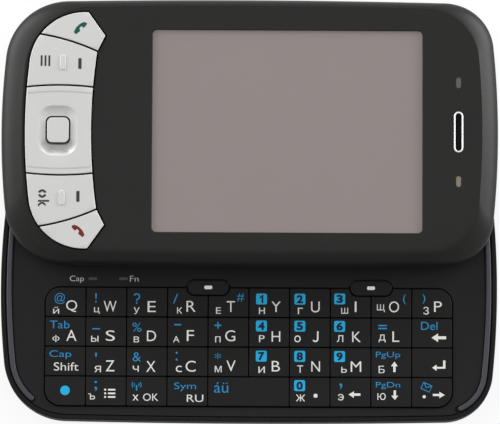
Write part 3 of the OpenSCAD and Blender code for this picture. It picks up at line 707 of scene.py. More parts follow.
def brushed_metal(name, base, roughness):
    """Metal with fine lines along X."""
    if name in bpy.data.materials:
        return bpy.data.materials[name]
    finish = painted(name, base, roughness, metallic=1.0, spread=0.08)
    tree = finish.node_tree
    place = tree.nodes["Texture Coordinate"].outputs["Object"]
    stretched = add_node(tree, "Mapping", {"Scale": (40, 2500, 40), "Vector": place}).outputs["Vector"]
    lines = add_node(tree, "TexNoise", {"Scale": 4, "Vector": stretched}).outputs["Fac"]
    feed(tree, tree.nodes["Bump"], {"Height": lines})
    return finish


def wear(node, finish):
    """Gives a carried-over node of the frame a finish."""
    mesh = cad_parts[node].data
    mesh.materials.clear()
    mesh.materials.append(finish)
    for face in mesh.polygons:
        face.material_index = 0


def housing_finishes():
    """Paints and plastics of the two halves."""
    look = bpy.context.scene.phone_housing
    return {
        "shell": painted("soft_touch_shell", look.shell_colour, 0.6, grain=5200, specular=0.045),
        "bezel": painted("soft_touch_front", look.bezel_colour, 0.42, grain=5200, specular=0.12, spread=0.08),
        "deck": painted("matt_deck", look.deck_colour, 0.55, grain=4200, specular=0.045, spread=0.12),
        "trim": painted("gloss_trim", look.trim_colour, 0.3, grain=3000, bump=0.04, specular=0.2),
    }


def key_inks():
    """Inks of the keyboard and the deck, in the order of their numbers in the prints."""
    look = bpy.context.scene.phone_keyboard
    inks = {}
    for name, roughness, spread, specular in (("white", 0.5, 0.04, 0.2), ("blue", 0.5, 0.06, 0.2),
                                              ("cyan", 0.5, 0.05, 0.2), ("dark", 0.5, 0.1, 0.1),
                                              ("grey", 0.55, 0.1, 0.2)):
        inks[name] = painted(f"{name}_ink", getattr(look, f"{name}_ink"), roughness,
                             grain=9000, bump=0.05, spread=spread, specular=specular)
    return inks


# ---- Printed marks ----

class Lettering:
    """Turns words into flat faces that fit a box."""

    def __init__(self):
        self.curve = bpy.data.curves.new("lettering", "FONT")
        self.curve.fill_mode = "NONE"
        self.curve.resolution_u = 6
        self.holder = bpy.data.objects.new("lettering", self.curve)
        bpy.context.scene.collection.objects.link(self.holder)
        self.done = {}

    def loops(self, words):
        """Closed outlines of the words."""
        self.curve.body = words
        bpy.context.view_layer.update()
        mesh = self.holder.evaluated_get(bpy.context.evaluated_depsgraph_get()).to_mesh()
        points = [(v.co.x, v.co.y) for v in mesh.vertices]
        beside = {}
        for edge in mesh.edges:
            a, b = edge.vertices
            beside.setdefault(a, []).append(b)
            beside.setdefault(b, []).append(a)
        self.holder.to_mesh_clear()
        loops, left = [], set(beside)
        while left:
            start = min(left)
            loop, here, before = [], start, None
            while here is not None and here in left:
                left.discard(here)
                loop.append(points[here])
                ahead = [p for p in beside[here] if p != before]
                before, here = here, (min(ahead) if before is None else ahead[0]) if ahead else None
            loops.append(clean(loop, 1e-5))
        return loops

    def outline(self, words, weight):
        """Points and faces of the words, scaled to a box of one by one round the origin."""
        if (words, weight) not in self.done:
            loops = self.loops(words)
            turn = sum(area_of(loop) for loop in loops)
            loops = [drawn_in(loop, weight if turn < 0 else -weight) for loop in loops]
            points, faces = split_flat(loops, lambda middle: sum(within(loop, middle) for loop in loops) % 2)
            used = {i for face in faces for i in face}
            low = [min(points[i][k] for i in used) for k in (0, 1)]
            high = [max(points[i][k] for i in used) for k in (0, 1)]
            span = [max(high[k] - low[k], 1e-6) for k in (0, 1)]
            flat = [tuple((p[k] - (low[k] + high[k]) / 2) / span[k] for k in (0, 1)) for p in points]
            self.done[words, weight] = (flat, faces)
        return self.done[words, weight]

    def write(self, shape, words, x, y, width, height, z, finish, turn=0, weight=-0.005):
        """Adds the words to a shape, fitted to a box round a middle and turned by quarter turns."""
        flat, faces = self.outline(words, weight)
        first = len(shape.points)
        spin = Matrix.Rotation(math.radians(turn), 2)
        for px, py in flat:
            p = spin @ Vector((px * width, py * height))
            shape.points.append((x + p.x, y + p.y, z))
        for face in faces:
            shape.add_face(tuple(first + i for i in face), finish)

    def close(self):
        """Takes the helper object away again."""
        bpy.data.objects.remove(self.holder)
        bpy.data.curves.remove(self.curve)


def strip_line(shape, points, width, z, finish):
    """Flat line of even width along points."""
    n = len(points)
    left, right = [], []
    for i in range(n):
        a, b = Vector(points[max(i - 1, 0)]), Vector(points[min(i + 1, n - 1)])
        d = (b - a).normalized()
        normal = Vector((-d.y, d.x)) * width / 2
        left.append(tuple(Vector(points[i]) + normal))
        right.append(tuple(Vector(points[i]) - normal))
    first = shape.add_points(left, z)
    second = shape.add_points(right, z)
    for i in range(n - 1):
        shape.add_face((second + i, second + i + 1, first + i + 1, first + i), finish)


def arrow_outline(width, height):
    """Block arrow to the right in a box round the origin."""
    head, half, shaft = width * 0.45, height / 2, height * 0.17
    tip, neck, tail = width / 2, width / 2 - head, -width / 2
    return [(tail, -shaft), (neck, -shaft), (neck, -half), (tip, 0), (neck, half), (neck, shaft),
            (tail, shaft)]


def enter_outline(width, height):
    """Return arrow: a stem at the right that turns left into an arrow head."""
    bar, half, head = height * 0.17, height * 0.30, width * 0.34
    right, left, top = width / 2, -width / 2, height / 2
    low = -height / 2 + half
    return [(left, low), (left + head, low - half), (left + head, low - bar / 2), (right, low - bar / 2),
            (right, top), (right - bar * 1.3, top), (right - bar * 1.3, low + bar / 2),
            (left + head, low + bar / 2), (left + head, low + half)]


def one_outline(height):
    """The figure 1 with its flag, round the origin."""
    top = height / 2
    return [(0.02, -top), (0.40, -top), (0.40, top), (0.12, top), (-0.06, top - 0.24), (-0.40, top - 0.42),
            (-0.40, top - 0.76), (0.02, top - 0.55)]


def draw_mark(shape, lettering, mark, x, y, z, finish_of):
    """Draws one printed mark of a key: a number in a box, a sign drawn here, or letters."""
    kind, ink, dx, dy, width, height = mark
    cx, cy = x + dx, y + dy
    if ink == "box":
        shape.fill(rounded_box(width, height, 0.35, 4, cx, cy), [], z, finish_of["cyan"])
        if kind == "1":
            shape.fill(shifted(one_outline(height * 0.74), cx, cy), [], z + INK_LIFT, finish_of["dark"])
        else:
            lettering.write(shape, kind, cx, cy, width * 0.58, height * 0.76, z + INK_LIFT, finish_of["dark"],
                            weight=0.045)
        return
    finish = finish_of[ink]
    if kind == "disc":
        shape.fill(disc(cx, cy, width / 2), [], z, finish)
    elif kind == "bar":
        shape.fill(rounded_box(width, height, min(width, height) * 0.2, 3, cx, cy), [], z, finish)
    elif kind == "?":
        radius = width / 2 - 0.15
        hook = arc(cx, cy + height / 2 - 0.15 - radius, radius, 160, -55, 16)
        strip_line(shape, hook + [(cx, cy - height * 0.13), (cx, cy - height * 0.25)], STROKE, z, finish)
        shape.fill(rounded_box(0.34, 0.34, 0.08, 2, cx, cy - height / 2 + 0.17), [], z, finish)
    elif kind == "J":
        right, radius = cx + width / 2 - 0.16, width / 2 - 0.17
        hook = arc(right - radius, cy - height / 2 + 0.16 + radius, radius, 0, -155, 14)
        strip_line(shape, [(right, cy + height / 2)] + hook, 0.33, z, finish)
    elif kind == "plus":
        shape.fill(rounded_box(width, STROKE, 0.03, 2, cx, cy), [], z, finish)
        shape.fill(rounded_box(STROKE, height, 0.03, 2, cx, cy), [], z + STROKE_LIFT, finish)
    elif kind == "equals":
        for side in (-1, 1):
            shape.fill(rounded_box(width, STROKE, 0.03, 2, cx, cy + side * 0.33), [], z, finish)
    elif kind == "list":
        for row in (-1, 0, 1):
            y = cy + row * 0.8
            shape.fill(rounded_box(width * 0.62, 0.36, 0.05, 2, cx + width * 0.19, y), [], z, finish)
            shape.fill(rounded_box(0.4, 0.4, 0.05, 2, cx - width * 0.36, y), [], z, finish)
    elif kind.startswith("arrow"):
        if kind == "arrow_enter":
            outline = enter_outline(width, height)
        elif kind in ("arrow_up", "arrow_down"):
            outline = [(-py, px) for px, py in arrow_outline(height, width)]
        else:
            outline = arrow_outline(width, height)
        if kind in ("arrow_left", "arrow_down"):
            outline = [(-px, -py) for px, py in outline]
        shape.fill(shifted(outline, cx, cy), [], z, finish)
    elif kind == "waves":
        strip_line(shape, [(cx, cy - height / 2), (cx, cy + 0.25)], 0.28, z, finish)
        for radius in (0.55, 1.0):
            for start in (-38, 142):
                strip_line(shape, arc(cx, cy + 0.3, radius, start, start + 76, 8), 0.16, z, finish)
    elif kind == "letter":
        spin = Matrix.Rotation(math.radians(-24), 2)
        w, h = width * 0.40, height * 0.32
        envelope, flap = [(-w, -h), (w, -h), (w, h), (-w, h), (-w, -h)], [(-w, h), (0, -h * 0.15), (w, h)]
        for line, lift in ((envelope, 0), (flap, STROKE_LIFT)):
            turned = [tuple(Vector((cx, cy)) + spin @ Vector(p)) for p in line]
            strip_line(shape, turned, 0.2, z + lift, finish)
    else:
        lettering.write(shape, kind, cx, cy, width, height, z, finish)


# ---- Operators ----

class SLIDERPHONE_OT_lower_housing(bpy.types.Operator):
    """Makes the rear shell, the deck with its grooves, the trims and the battery cover"""
    bl_idname = "slider_phone.lower_housing"
    bl_label = "Lower housing"

    def execute(self, context):
        look = context.scene.phone_housing
        finish = housing_finishes()
        self.make_tub(look, finish["shell"])
        self.make_deck(look, context.scene.phone_keyboard, finish["deck"])
        self.make_trims(look, finish["trim"])
        self.make_cover(finish["shell"])
        return {"FINISHED"}

    def make_cover(self, finish):
        """Panel in the underside, with a small chamfer."""
        outline, top = battery_cover_outline()
        small = drawn_in(outline, COVER_EDGE)
        cover = Shape()
        cover.stack([(small, 0), (outline, COVER_EDGE), (outline, top)])
        cover.fill(small, [], 0, facing_down=True)
        cover.fill(outline, [], top)
        make_piece(cover, "battery_lid", "lower_half", [finish], ["battery_cover"])

    def make_tub(self, look, finish):
        """Shell with its rim, and its openings for cover, battery, camera, speaker and socket."""
        foot_w, foot_h = look.foot_width / MM, look.foot_height / MM
        rim, ledge = body_outline(look.rim_width / MM), body_outline(TUB_LEDGE)
        levels = [(body_outline(foot_w * (1 - s)), foot_h * (1 - c)) for s, c in quarter_round(16)]
        levels += [(body_outline(TUB_LIP * (1 - c)), DECK_TOP - TUB_LIP + TUB_LIP * s)
                   for s, c in quarter_round(6)]
        levels += [(rim, DECK_TOP), (rim, DECK_TOP - DECK_THICKNESS), (ledge, DECK_TOP - DECK_THICKNESS),
                   (ledge, TUB_LEDGE_Z), (body_outline(TUB_INSIDE), TUB_FLOOR)]
        tub = Shape()
        tub.stack(levels)
        tub.fill(levels[0][0], [], 0, facing_down=True)
        tub.fill(levels[-1][0], [], TUB_FLOOR)
        piece = make_piece(tub, "rear_shell", "lower_half", [finish], ["base_tub"], (0, LOWER_Y))
        outline, top = battery_cover_outline(COVER_GAP)
        recess, wells, socket = Shape(), Shape(), Shape()
        recess.slab(outline, -1, top)
        low, high = size_mm("battery_cover")
        middle = (low + high) / 2
        wells.slab(rounded_box(*BATTERY_BAY, 6, middle.x, middle.y), 0.5, 3)
        wells.slab(disc(CAMERA_X, CAMERA_Y, 3.3, 48), -1, 3)
        for row in (-1, 0, 1):
            wells.slab(rounded_box(*SPEAKER_SLOT, 6, CAMERA_X, SPEAKER_Y + row * SPEAKER_PITCH), -1, 3)
        mouth = rounded_box(5.1, 8.1, 0.4, 4, -BODY_LENGTH / 2 + 1.5, LOWER_Y)
        socket.slab(mouth, SOCKET_Z - 1.7, SOCKET_Z + 1.7)
        for shape in (recess, wells, socket):
            cut_away(piece, shape)

    def make_deck(self, look, keys, finish):
        """Plate round the keys, with its two lamps and the grooves of the trims."""
        top, bottom = DECK_TOP, DECK_TOP - DECK_THICKNESS
        opening = field_opening(keys)
        outer = body_outline(look.rim_width / MM + DECK_GAP)
        lamps = [rounded_box(1.9, 0.65, 0.1, 3, x, y) for x, y in lamp_places(keys)]
        lamp_z = top - 0.15
        deck = Shape()
        lip = look.lip / MM
        deck.fill(outer, [drawn_in(opening, -lip)] + lamps, top)
        deck.edge(opening[::-1], bottom, top, lip)
        deck.upright(outer, bottom, top)
        deck.fill(outer, [opening], bottom, facing_down=True)
        for lamp in lamps:
            deck.upright(lamp[::-1], lamp_z, top)
            deck.fill(lamp, [], lamp_z, 1)
        lens = painted("dark_lamp_lens", (0.02, 0.021, 0.022), 0.3, grain=3000, bump=0.05, specular=0.25)
        piece = make_piece(deck, "deck_plate", "lower_half", [finish, lens], ["keyboard_deck"],
                           (0, LOWER_Y))
        grooves = Shape()
        outside, inside = look.rim_width / MM - 0.1, (look.trim_inset + look.trim_width) / MM + 0.25
        for side in (1, -1):
            band = trim_band(outside, inside, 0.25, side)
            grooves.slab(shifted(band, 0, LOWER_Y), top - TRIM_DEPTH, top + 1)
        cut_away(piece, grooves)

    def make_trims(self, look, finish):
        """Two strips that lie in the deck's grooves."""
        trims = Shape()
        inset = look.trim_inset / MM
        for side in (1, -1):
            band = trim_band(inset, inset + look.trim_width / MM, 0, side)
            trims.plate(band, [], DECK_TOP - TRIM_DEPTH, DECK_TOP + TRIM_HEIGHT, 0.3)
        make_piece(trims, "end_trims", "lower_half", [finish], ["side_trims"], (0, LOWER_Y))


def battery_cover_outline(gap=0.0):
    """Outline of the battery cover with a gap round it, and the height of its inner face."""
    low, high = size_mm("battery_cover")
    middle = (low + high) / 2
    return rounded_box(high.x - low.x + 2 * gap, high.y - low.y + 2 * gap, COVER_CORNER + gap, 12,
                       middle.x, middle.y), high.z


def trim_band(outer, inner, extra, side):
    """Strip between two insets of the outline, at one end and round its lower corner, with round ends."""
    end_x, end_y = BODY_LENGTH / 2 - (8.4 if side > 0 else 7.2) - extra, BODY_WIDTH / 2 - 9.4 + extra
    order = run_of(body_outline(2), lambda p: p[0] * side > end_x and p[1] < end_y)
    outside, inside = ([body_outline(inset)[i] for i in order] for inset in (outer, inner))
    inner_end, outer_end = round_end(outside[-1], inside[-1]), round_end(inside[0], outside[0])
    return clean(outside + inner_end + inside[::-1] + outer_end)


def round_end(first, last):
    """Half circle from one point to another, on the right of the line between them."""
    cx, cy = (first[0] + last[0]) / 2, (first[1] + last[1]) / 2
    start = math.degrees(math.atan2(first[1] - cy, first[0] - cx))
    return arc(cx, cy, math.dist(first, last) / 2, start, start + 180, 10)[1:-1]


def field_box(keys):
    """Width, height, middle height and top of the keyboard, from the middle of the lower half."""
    width = BODY_LENGTH - 2 * keys.field_side / MM
    height = len(KEY_ROWS) * keys.row_pitch / MM
    middle = -BODY_WIDTH / 2 + keys.field_edge / MM + height / 2
    return width, height, middle, middle + height / 2


def column_x(keys, column):
    """Left edge of a column of keys; 0.5 is the middle of the first."""
    width = field_box(keys)[0]
    return -width / 2 + column * width / COLUMNS


def lamp_places(keys):
    """Middles of the deck's two lamps."""
    return [(column_x(keys, column), field_box(keys)[3] + 1.9) for column in (1.16, 1.91)]


def field_opening(keys):
    """Opening of the deck round all keys, with the two bays of the soft keys."""
    width, height, middle, top = field_box(keys)
    clear = keys.key_gap / MM / 2
    corner = keys.field_corner / MM + clear
    x, y0, y1 = width / 2 + clear, middle - height / 2 - clear, top + clear
    bay_r = SOFT_KEY_WIDTH / 2 + 2 * clear
    points = arc(-x + corner, y0 + corner, corner, 180, 270, 10)
    points += arc(x - corner, y0 + corner, corner, 270, 360, 10)
    points += arc(x - corner, y1 - corner, corner, 0, 90, 10)
    for column in sorted(SOFT_KEY_COLUMNS.values(), reverse=True):
        cx, reach = column_x(keys, column), SOFT_KEY_LENGTH / 2 + 2 * clear - bay_r
        rise = math.degrees(math.asin((y1 - top) / bay_r))
        points += arc(cx + reach, top, bay_r, rise, 90, 8)
        points += arc(cx - reach, top, bay_r, 90, 180 - rise, 8)
    points += arc(-x + corner, y1 - corner, corner, 90, 180, 10)
    return clean(points)


def key_outline(keys, row, i):
    """Outline and middle of one key, from the middle of the lower half."""
    width, _, _, top = field_box(keys)
    pitch = width / COLUMNS
    column = i + 1 if row == LAST_ROW and i > SPACE_COLUMN else i
    end = column + (2 if row == LAST_ROW and i == SPACE_COLUMN else 1)
    gap = keys.key_gap / MM / 2
    left, right = -width / 2 + column * pitch + gap, -width / 2 + end * pitch - gap
    high, low = top - row * keys.row_pitch / MM - gap, top - (row + 1) * keys.row_pitch / MM + gap
    bay_r, reach = SOFT_KEY_WIDTH / 2 + 2 * gap, SOFT_KEY_LENGTH / 2 - SOFT_KEY_WIDTH / 2
    rise = math.degrees(math.asin(gap / bay_r))
    bays = SOFT_KEY_COLUMNS.values() if row == 0 else ()

    def corner(x, y, outward_x, outward_y, at_field_corner, start):
        """Rounding of one corner, which is larger at the corners of the keyboard."""
        radius = keys.field_corner / MM - gap if at_field_corner else KEY_CORNER
        return arc(x - outward_x * radius, y - outward_y * radius, radius, start, start + 90, 8)

    if end in bays:
        points = [(right, top - bay_r)] + arc(column_x(keys, end) - reach, top, bay_r, 270, 180 + rise, 10)
    else:
        points = corner(right, high, 1, 1, row == 0 and end == COLUMNS, 0)
    if column in bays:
        points += arc(column_x(keys, column) + reach, top, bay_r, -rise, -90, 10) + [(left, top - bay_r)]
    else:
        points += corner(left, high, -1, 1, row == 0 and column == 0, 90)
    points += corner(left, low, -1, -1, row == LAST_ROW and column == 0, 180)
    points += corner(right, low, 1, -1, row == LAST_ROW and end == COLUMNS, 270)
    return clean(points), ((left + right) / 2, (high + low) / 2)


class SLIDERPHONE_OT_keyboard(bpy.types.Operator):
    """Makes every key of the keyboard and prints its legends"""
    bl_idname = "slider_phone.keyboard"
    bl_label = "Keyboard"

    def execute(self, context):
        look = context.scene.phone_keyboard
        plastic = painted("key_plastic", look.key_colour, 0.5, grain=3600, bump=0.2, specular=0.045,
                          spread=0.12)
        # Walls below each cap's rounded edge get a darker copy of the key plastic: painted shade, so the gaps
        # between keys read black
        side = painted("key_side_dark", [c * 0.35 for c in look.key_colour], 0.8, bump=0.02, specular=0.05)
        inks = key_inks()
        *legend_inks, grey = inks.values()
        finish_of = {name: i for i, name in enumerate(inks)}
        lettering = Lettering()
        low, high = size_mm("key_a")
        top, bottom = high.z, DECK_TOP - CAP_DEPTH
        lift, move = look.label_lift / MM, (0, LOWER_Y)
        for row, names in enumerate(KEY_ROWS):
            for i, name in enumerate(names):
                outline, middle = key_outline(look, row, i)
                cap = Shape()
                cap.plate(outline, [], bottom, top, look.key_lip / MM, wall=1)
                cap.slab(disc(*middle, STEM_RADIUS), low.z, bottom + 0.01)
                key = f"key_{name}"
                make_piece(cap, f"cap_{name}", key, [plastic, side], [key], move)
                legends = Shape()
                for mark in KEY_MARKS[name]:
                    draw_mark(legends, lettering, mark, *middle, top + lift, finish_of)
                make_print(legends, f"print_{name}", key, legend_inks, move)
        self.make_mat(look)
        labels = Shape()
        field_top = field_box(look)[3]
        lettering.write(labels, "Cap", -37.8, field_top + 1.7, 3.1, 1.6, DECK_TOP + lift, 0)
        lettering.write(labels, "Fn", -25.2, field_top + 1.9, 1.9, 1.3, DECK_TOP + lift, 0)
        make_print(labels, "lamp_labels", "lower_half", [grey], move)
        lettering.close()
        return {"FINISHED"}

    def make_mat(self, look):
        """Thin dark sheet under the caps, with a hole for each stem."""
        width, height, middle, field_top = field_box(look)
        holes = [disc(*key_outline(look, row, i)[1], STEM_HOLE)
                 for row, names in enumerate(KEY_ROWS) for i in range(len(names))]
        holes += [disc(column_x(look, column), field_top, SOFT_STEM_HOLE)
                  for column in SOFT_KEY_COLUMNS.values()]
        outline = rounded_box(width + 1.4, height + 1.4, 3.8, 8, 0, middle)
        mat = Shape()
        mat.fill(outline, holes, MAT_TOP)
        mat.fill(outline, holes, MAT_BOTTOM, facing_down=True)
        for loop in [outline] + [hole[::-1] for hole in holes]:
            mat.upright(loop, MAT_BOTTOM, MAT_TOP)
        rubber = painted("dark_rubber", (0.004, 0.004, 0.004), 0.85, grain=3000, specular=0.05)
        make_piece(mat, "key_mat", "lower_half", [rubber], (), (0, LOWER_Y))


class SLIDERPHONE_OT_soft_keys(bpy.types.Operator):
    """Makes the two pill-shaped keys at the keyboard's upper edge"""
    bl_idname = "slider_phone.soft_keys"
    bl_label = "Soft keys"

    def execute(self, context):
        look = context.scene.phone_keyboard
        plastic = painted("soft_key_plastic", look.key_colour, 0.45, grain=3600, specular=0.045, spread=0.12)
        ink = painted("soft_key_dash", (0.92, 0.91, 0.88), 0.5, bump=0.05, specular=0.2)
        for name, column in SOFT_KEY_COLUMNS.items():
            low, high = size_mm(name)
            x, y = column_x(look, column), field_box(look)[3]
            outline = rounded_box(SOFT_KEY_LENGTH, SOFT_KEY_WIDTH, SOFT_KEY_WIDTH / 2 - 0.01, 14, x, y)
            key = Shape()
            key.plate(outline, [], DECK_TOP - CAP_DEPTH, high.z, 0.35)
            key.slab(disc(x, y, SOFT_STEM_RADIUS), low.z, DECK_TOP - CAP_DEPTH + 0.01)
            make_piece(key, f"pill_{name}", name, [plastic], [name], (0, LOWER_Y))
            mark = Shape()
            mark.fill(rounded_box(1.75, 0.78, 0.3, 4, x, y + 0.02), [], high.z + look.label_lift / MM)
            make_print(mark, f"dash_{name}", name, [ink], (0, LOWER_Y))
        return {"FINISHED"}


class SLIDERPHONE_OT_upper_housing(bpy.types.Operator):
    """Makes the sliding half's back and its front bezel with all its openings"""
    bl_idname = "slider_phone.upper_housing"
    bl_label = "Upper housing"

    def execute(self, context):
        look = context.scene.phone_housing
        finish = housing_finishes()
        self.make_back(finish["shell"])
        self.make_bezel(look, context.scene.phone_screen, context.scene.phone_front_keys, finish["bezel"])
        return {"FINISHED"}

    def make_back(self, finish):
        """Rear plate with the slots that run on the guide rails."""
        levels = [(body_outline(inset), BACK_LOW.z + height) for inset, height in BACK_EDGE]
        back = Shape()
        back.stack(levels)
        back.fill(levels[0][0], [], BACK_LOW.z, facing_down=True)
        back.fill(levels[-1][0], [], BEZEL_LOW.z)
        piece = make_piece(back, "slide_back_shell", "upper_half", [finish], ["slide_back"],
                           (0, UPPER_Y))
        rail_low, rail_high = size_mm("guide_rails")
        travel = UPPER_Y - LOWER_Y
        start, end = rail_low.y - SLOT_PLAY, rail_high.y + travel + SLOT_PLAY
        slots = Shape()
        for side in (-1, 1):
            x = side * (rail_high.x - RAIL_WIDTH / 2)
            for half, low, high in ((1.4, -1, 0.801), (2.4, 0.8, 1.6)):
                corners = [(x - half, start), (x + half, start), (x + half, end), (x - half, end)]
                slots.slab(corners, BACK_LOW.z + low, BACK_LOW.z + high)
        cut_away(piece, slots)

    def make_bezel(self, look, screen, front, finish):
        """Front with its bevel and the openings for screen, keypad, earpiece and status windows."""
        split, base = BEZEL_LOW.z, BEZEL_LOW.z + look.bevel_base / MM
        right, left = look.bevel_right / MM, look.bevel_left / MM
        far, near = look.bevel_far / MM, look.bevel_near / MM
        levels = [(body_outline(inset), split + height) for inset, height in BEZEL_FOOT]
        for i in range(BEVEL_STEPS + 1):
            turn = look.crease * i / BEVEL_STEPS
            # drop goes from 1 at the upright wall to 0 at the flat front
            drop = 1 - math.sin(turn) / math.sin(look.crease)
            slant = 1 - 1.5 * drop + 0.5 * drop ** 3
            bulge = (1 - math.cos(turn)) / (1 - math.cos(look.crease))
            roll = 1 - math.sqrt(1 - (1 - drop) ** 2)
            corners = [(outer + (inner - outer) * slant) / MM for outer, inner in (
                (look.corner_radius, look.crease_corner), (look.left_corner_radius, look.left_crease_corner))]
            outline = body_outline(right * slant, far * bulge, left * slant, near * roll, corners)
            levels.append((outline, FRONT_Z - (FRONT_Z - base) * drop))
        bezel = Shape()
        bezel.stack(levels)
        under, ear_z, status_z = FRONT_Z - FRONT_THICKNESS, FRONT_Z - 0.6, FRONT_Z - 0.08
        window = window_outline(screen)
        ear = rounded_box(RING_WIDTH + 0.04, RING_LENGTH + 0.04, 1.04, 12, EAR_X, 0)
        lamps = [rounded_box(1.1, 2.4, 0.54, 8, EAR_X, side * STATUS_LAMP_Y) for side in (1, -1)]
        lip = look.lip / MM
        bezel.fill(levels[-1][0], [drawn_in(window, -lip), ear] + lamps, FRONT_Z)
        bezel.edge(window[::-1], under, FRONT_Z, lip, steps=8)
        bezel.upright(ear[::-1], ear_z, FRONT_Z)
        bezel.fill(ear, [], ear_z, 3)
        for index, lamp in enumerate(lamps):
            bezel.upright(lamp[::-1], status_z, FRONT_Z)
            bezel.fill(lamp, [], status_z, 1 + index)
        inside, wall = body_outline(right - 0.6, far, left - 0.9), body_outline(1.3)
        bezel.fill(inside, [window], under, facing_down=True)
        bezel.stack([(inside, under), (wall, base), (wall, split), levels[0]])
        finishes = [finish, painted("status_window", screen.status_colour, 0.3, bump=0.03),
                    painted("status_window_warm", screen.status_amber, 0.3, bump=0.03),
                    painted("earpiece_dark", (0.004, 0.004, 0.004), 0.7)]
        piece = make_piece(bezel, "front_bezel", "upper_half", finishes, ["slide_bezel"],
                           (0, UPPER_Y), smooth=BEZEL_SMOOTH)
        pad = shifted(shifted(drawn_in(keypad_outline(), -front.gap / MM), PAD_X, 0), 0, UPPER_Y)
        rounding = [(drawn_in(pad, lip * (c - 1)), FRONT_Z - lip + lip * s) for s, c in quarter_round(8)[1:]]
        mouth = rounding[-1][0]
        opening = Shape()
        opening.stack([(pad, under - 0.5), (pad, FRONT_Z - lip), *rounding, (mouth, FRONT_Z + 1)])
        opening.fill(pad, [], under - 0.5, facing_down=True)
        opening.fill(mouth, [], FRONT_Z + 1)
        cut_away(piece, opening, BEZEL_SMOOTH)


def window_outline(screen, gap=0.0):
    """Outline of the screen window with a gap inside it, from the middle of the upper half."""
    return rounded_box(screen.window_width / MM - 2 * gap, screen.window_height / MM - 2 * gap,
                       screen.window_corner / MM, 8, screen.window_offset / MM, 0)


# Side view of a telephone handset that leans to the right, round the origin
HANDSET = [(1.41, 0.90), (1.33, 1.13), (1.13, 1.27), (0.86, 1.34), (0.59, 1.31), (0.06, 1.07), (-0.44, 0.69),
           (-0.87, 0.26), (-1.19, -0.24), (-1.40, -0.70), (-1.40, -0.92), (-1.30, -1.10), (-1.14, -1.26),
           (-0.94, -1.33), (-0.78, -1.22), (-0.59, -1.03), (-0.14, -0.72), (-0.08, -0.60), (-0.13, -0.31),
           (-0.28, -0.14), (-0.09, 0.19), (0.20, 0.44), (0.44, 0.26), (0.58, 0.10), (0.72, 0.11),
           (1.13, 0.47)][::-1]


def keypad_outline():
    """Outline of all front keys, from the middle of their left edge."""
    cx, cy, corner_r = PAD_CORNER
    reach = math.degrees(math.asin(PAD_SIDE_REACH / PAD_SIDE_RADIUS))
    top_angle = math.degrees(math.acos((PAD_TOP_X - cx) / corner_r))
    end_angle = 180 - math.degrees(math.atan2(cy, PAD_END_RADIUS - cx))
    upper = arc(PAD_SIDE_X + PAD_SIDE_RADIUS, 0, PAD_SIDE_RADIUS, 180, 180 - reach, 12) + [PAD_TIP]
    upper += arc(cx, cy, corner_r, top_angle, end_angle, 30)
    upper += arc(PAD_END_RADIUS, 0, PAD_END_RADIUS, end_angle, 180, 16)[1:]
    upper = clean(upper)
    lower = [(x, -y) for x, y in upper[::-1]]
    return clean(upper + lower[1:-1])


def bulge_centre(split, side):
    """Centre of an arc that bulges outwards between two front keys."""
    a, b, radius = Vector(split[0]), Vector(split[1]), split[2]
    half = (b - a).length / 2
    along = (b - a).normalized()
    centre = (a + b) / 2 + math.sqrt(radius ** 2 - half * half) * Vector((along.y, -along.x))
    return (centre.x, side * centre.y)


def front_key_outline(part, side, gap):
    """Outline of a press key, a rocker or the navigation pad, with its share of the gaps beside it."""
    area = dense(keypad_outline(), 0.5)
    outer_r, inner_r = OUTER_SPLIT[2], INNER_SPLIT[2]
    outer_gap, inner_gap = gap * 0.65, gap * 0.6
    if part == "pad":
        for end in (1, -1):
            area = cut_by_circle(dense(area, 0.5), bulge_centre(INNER_SPLIT, end), inner_r - inner_gap, True)
        return area
    outer, inner = bulge_centre(OUTER_SPLIT, side), bulge_centre(INNER_SPLIT, side)
    half = [area[i] for i in run_of(area, lambda p: p[1] * side >= -1e-6)]
    if part == "press":
        return cut_by_circle(half, outer, outer_r + outer_gap, False)
    near = cut_by_circle(half, outer, outer_r - outer_gap, True)
    return cut_by_circle(dense(near, 0.5), inner, inner_r + inner_gap, False)


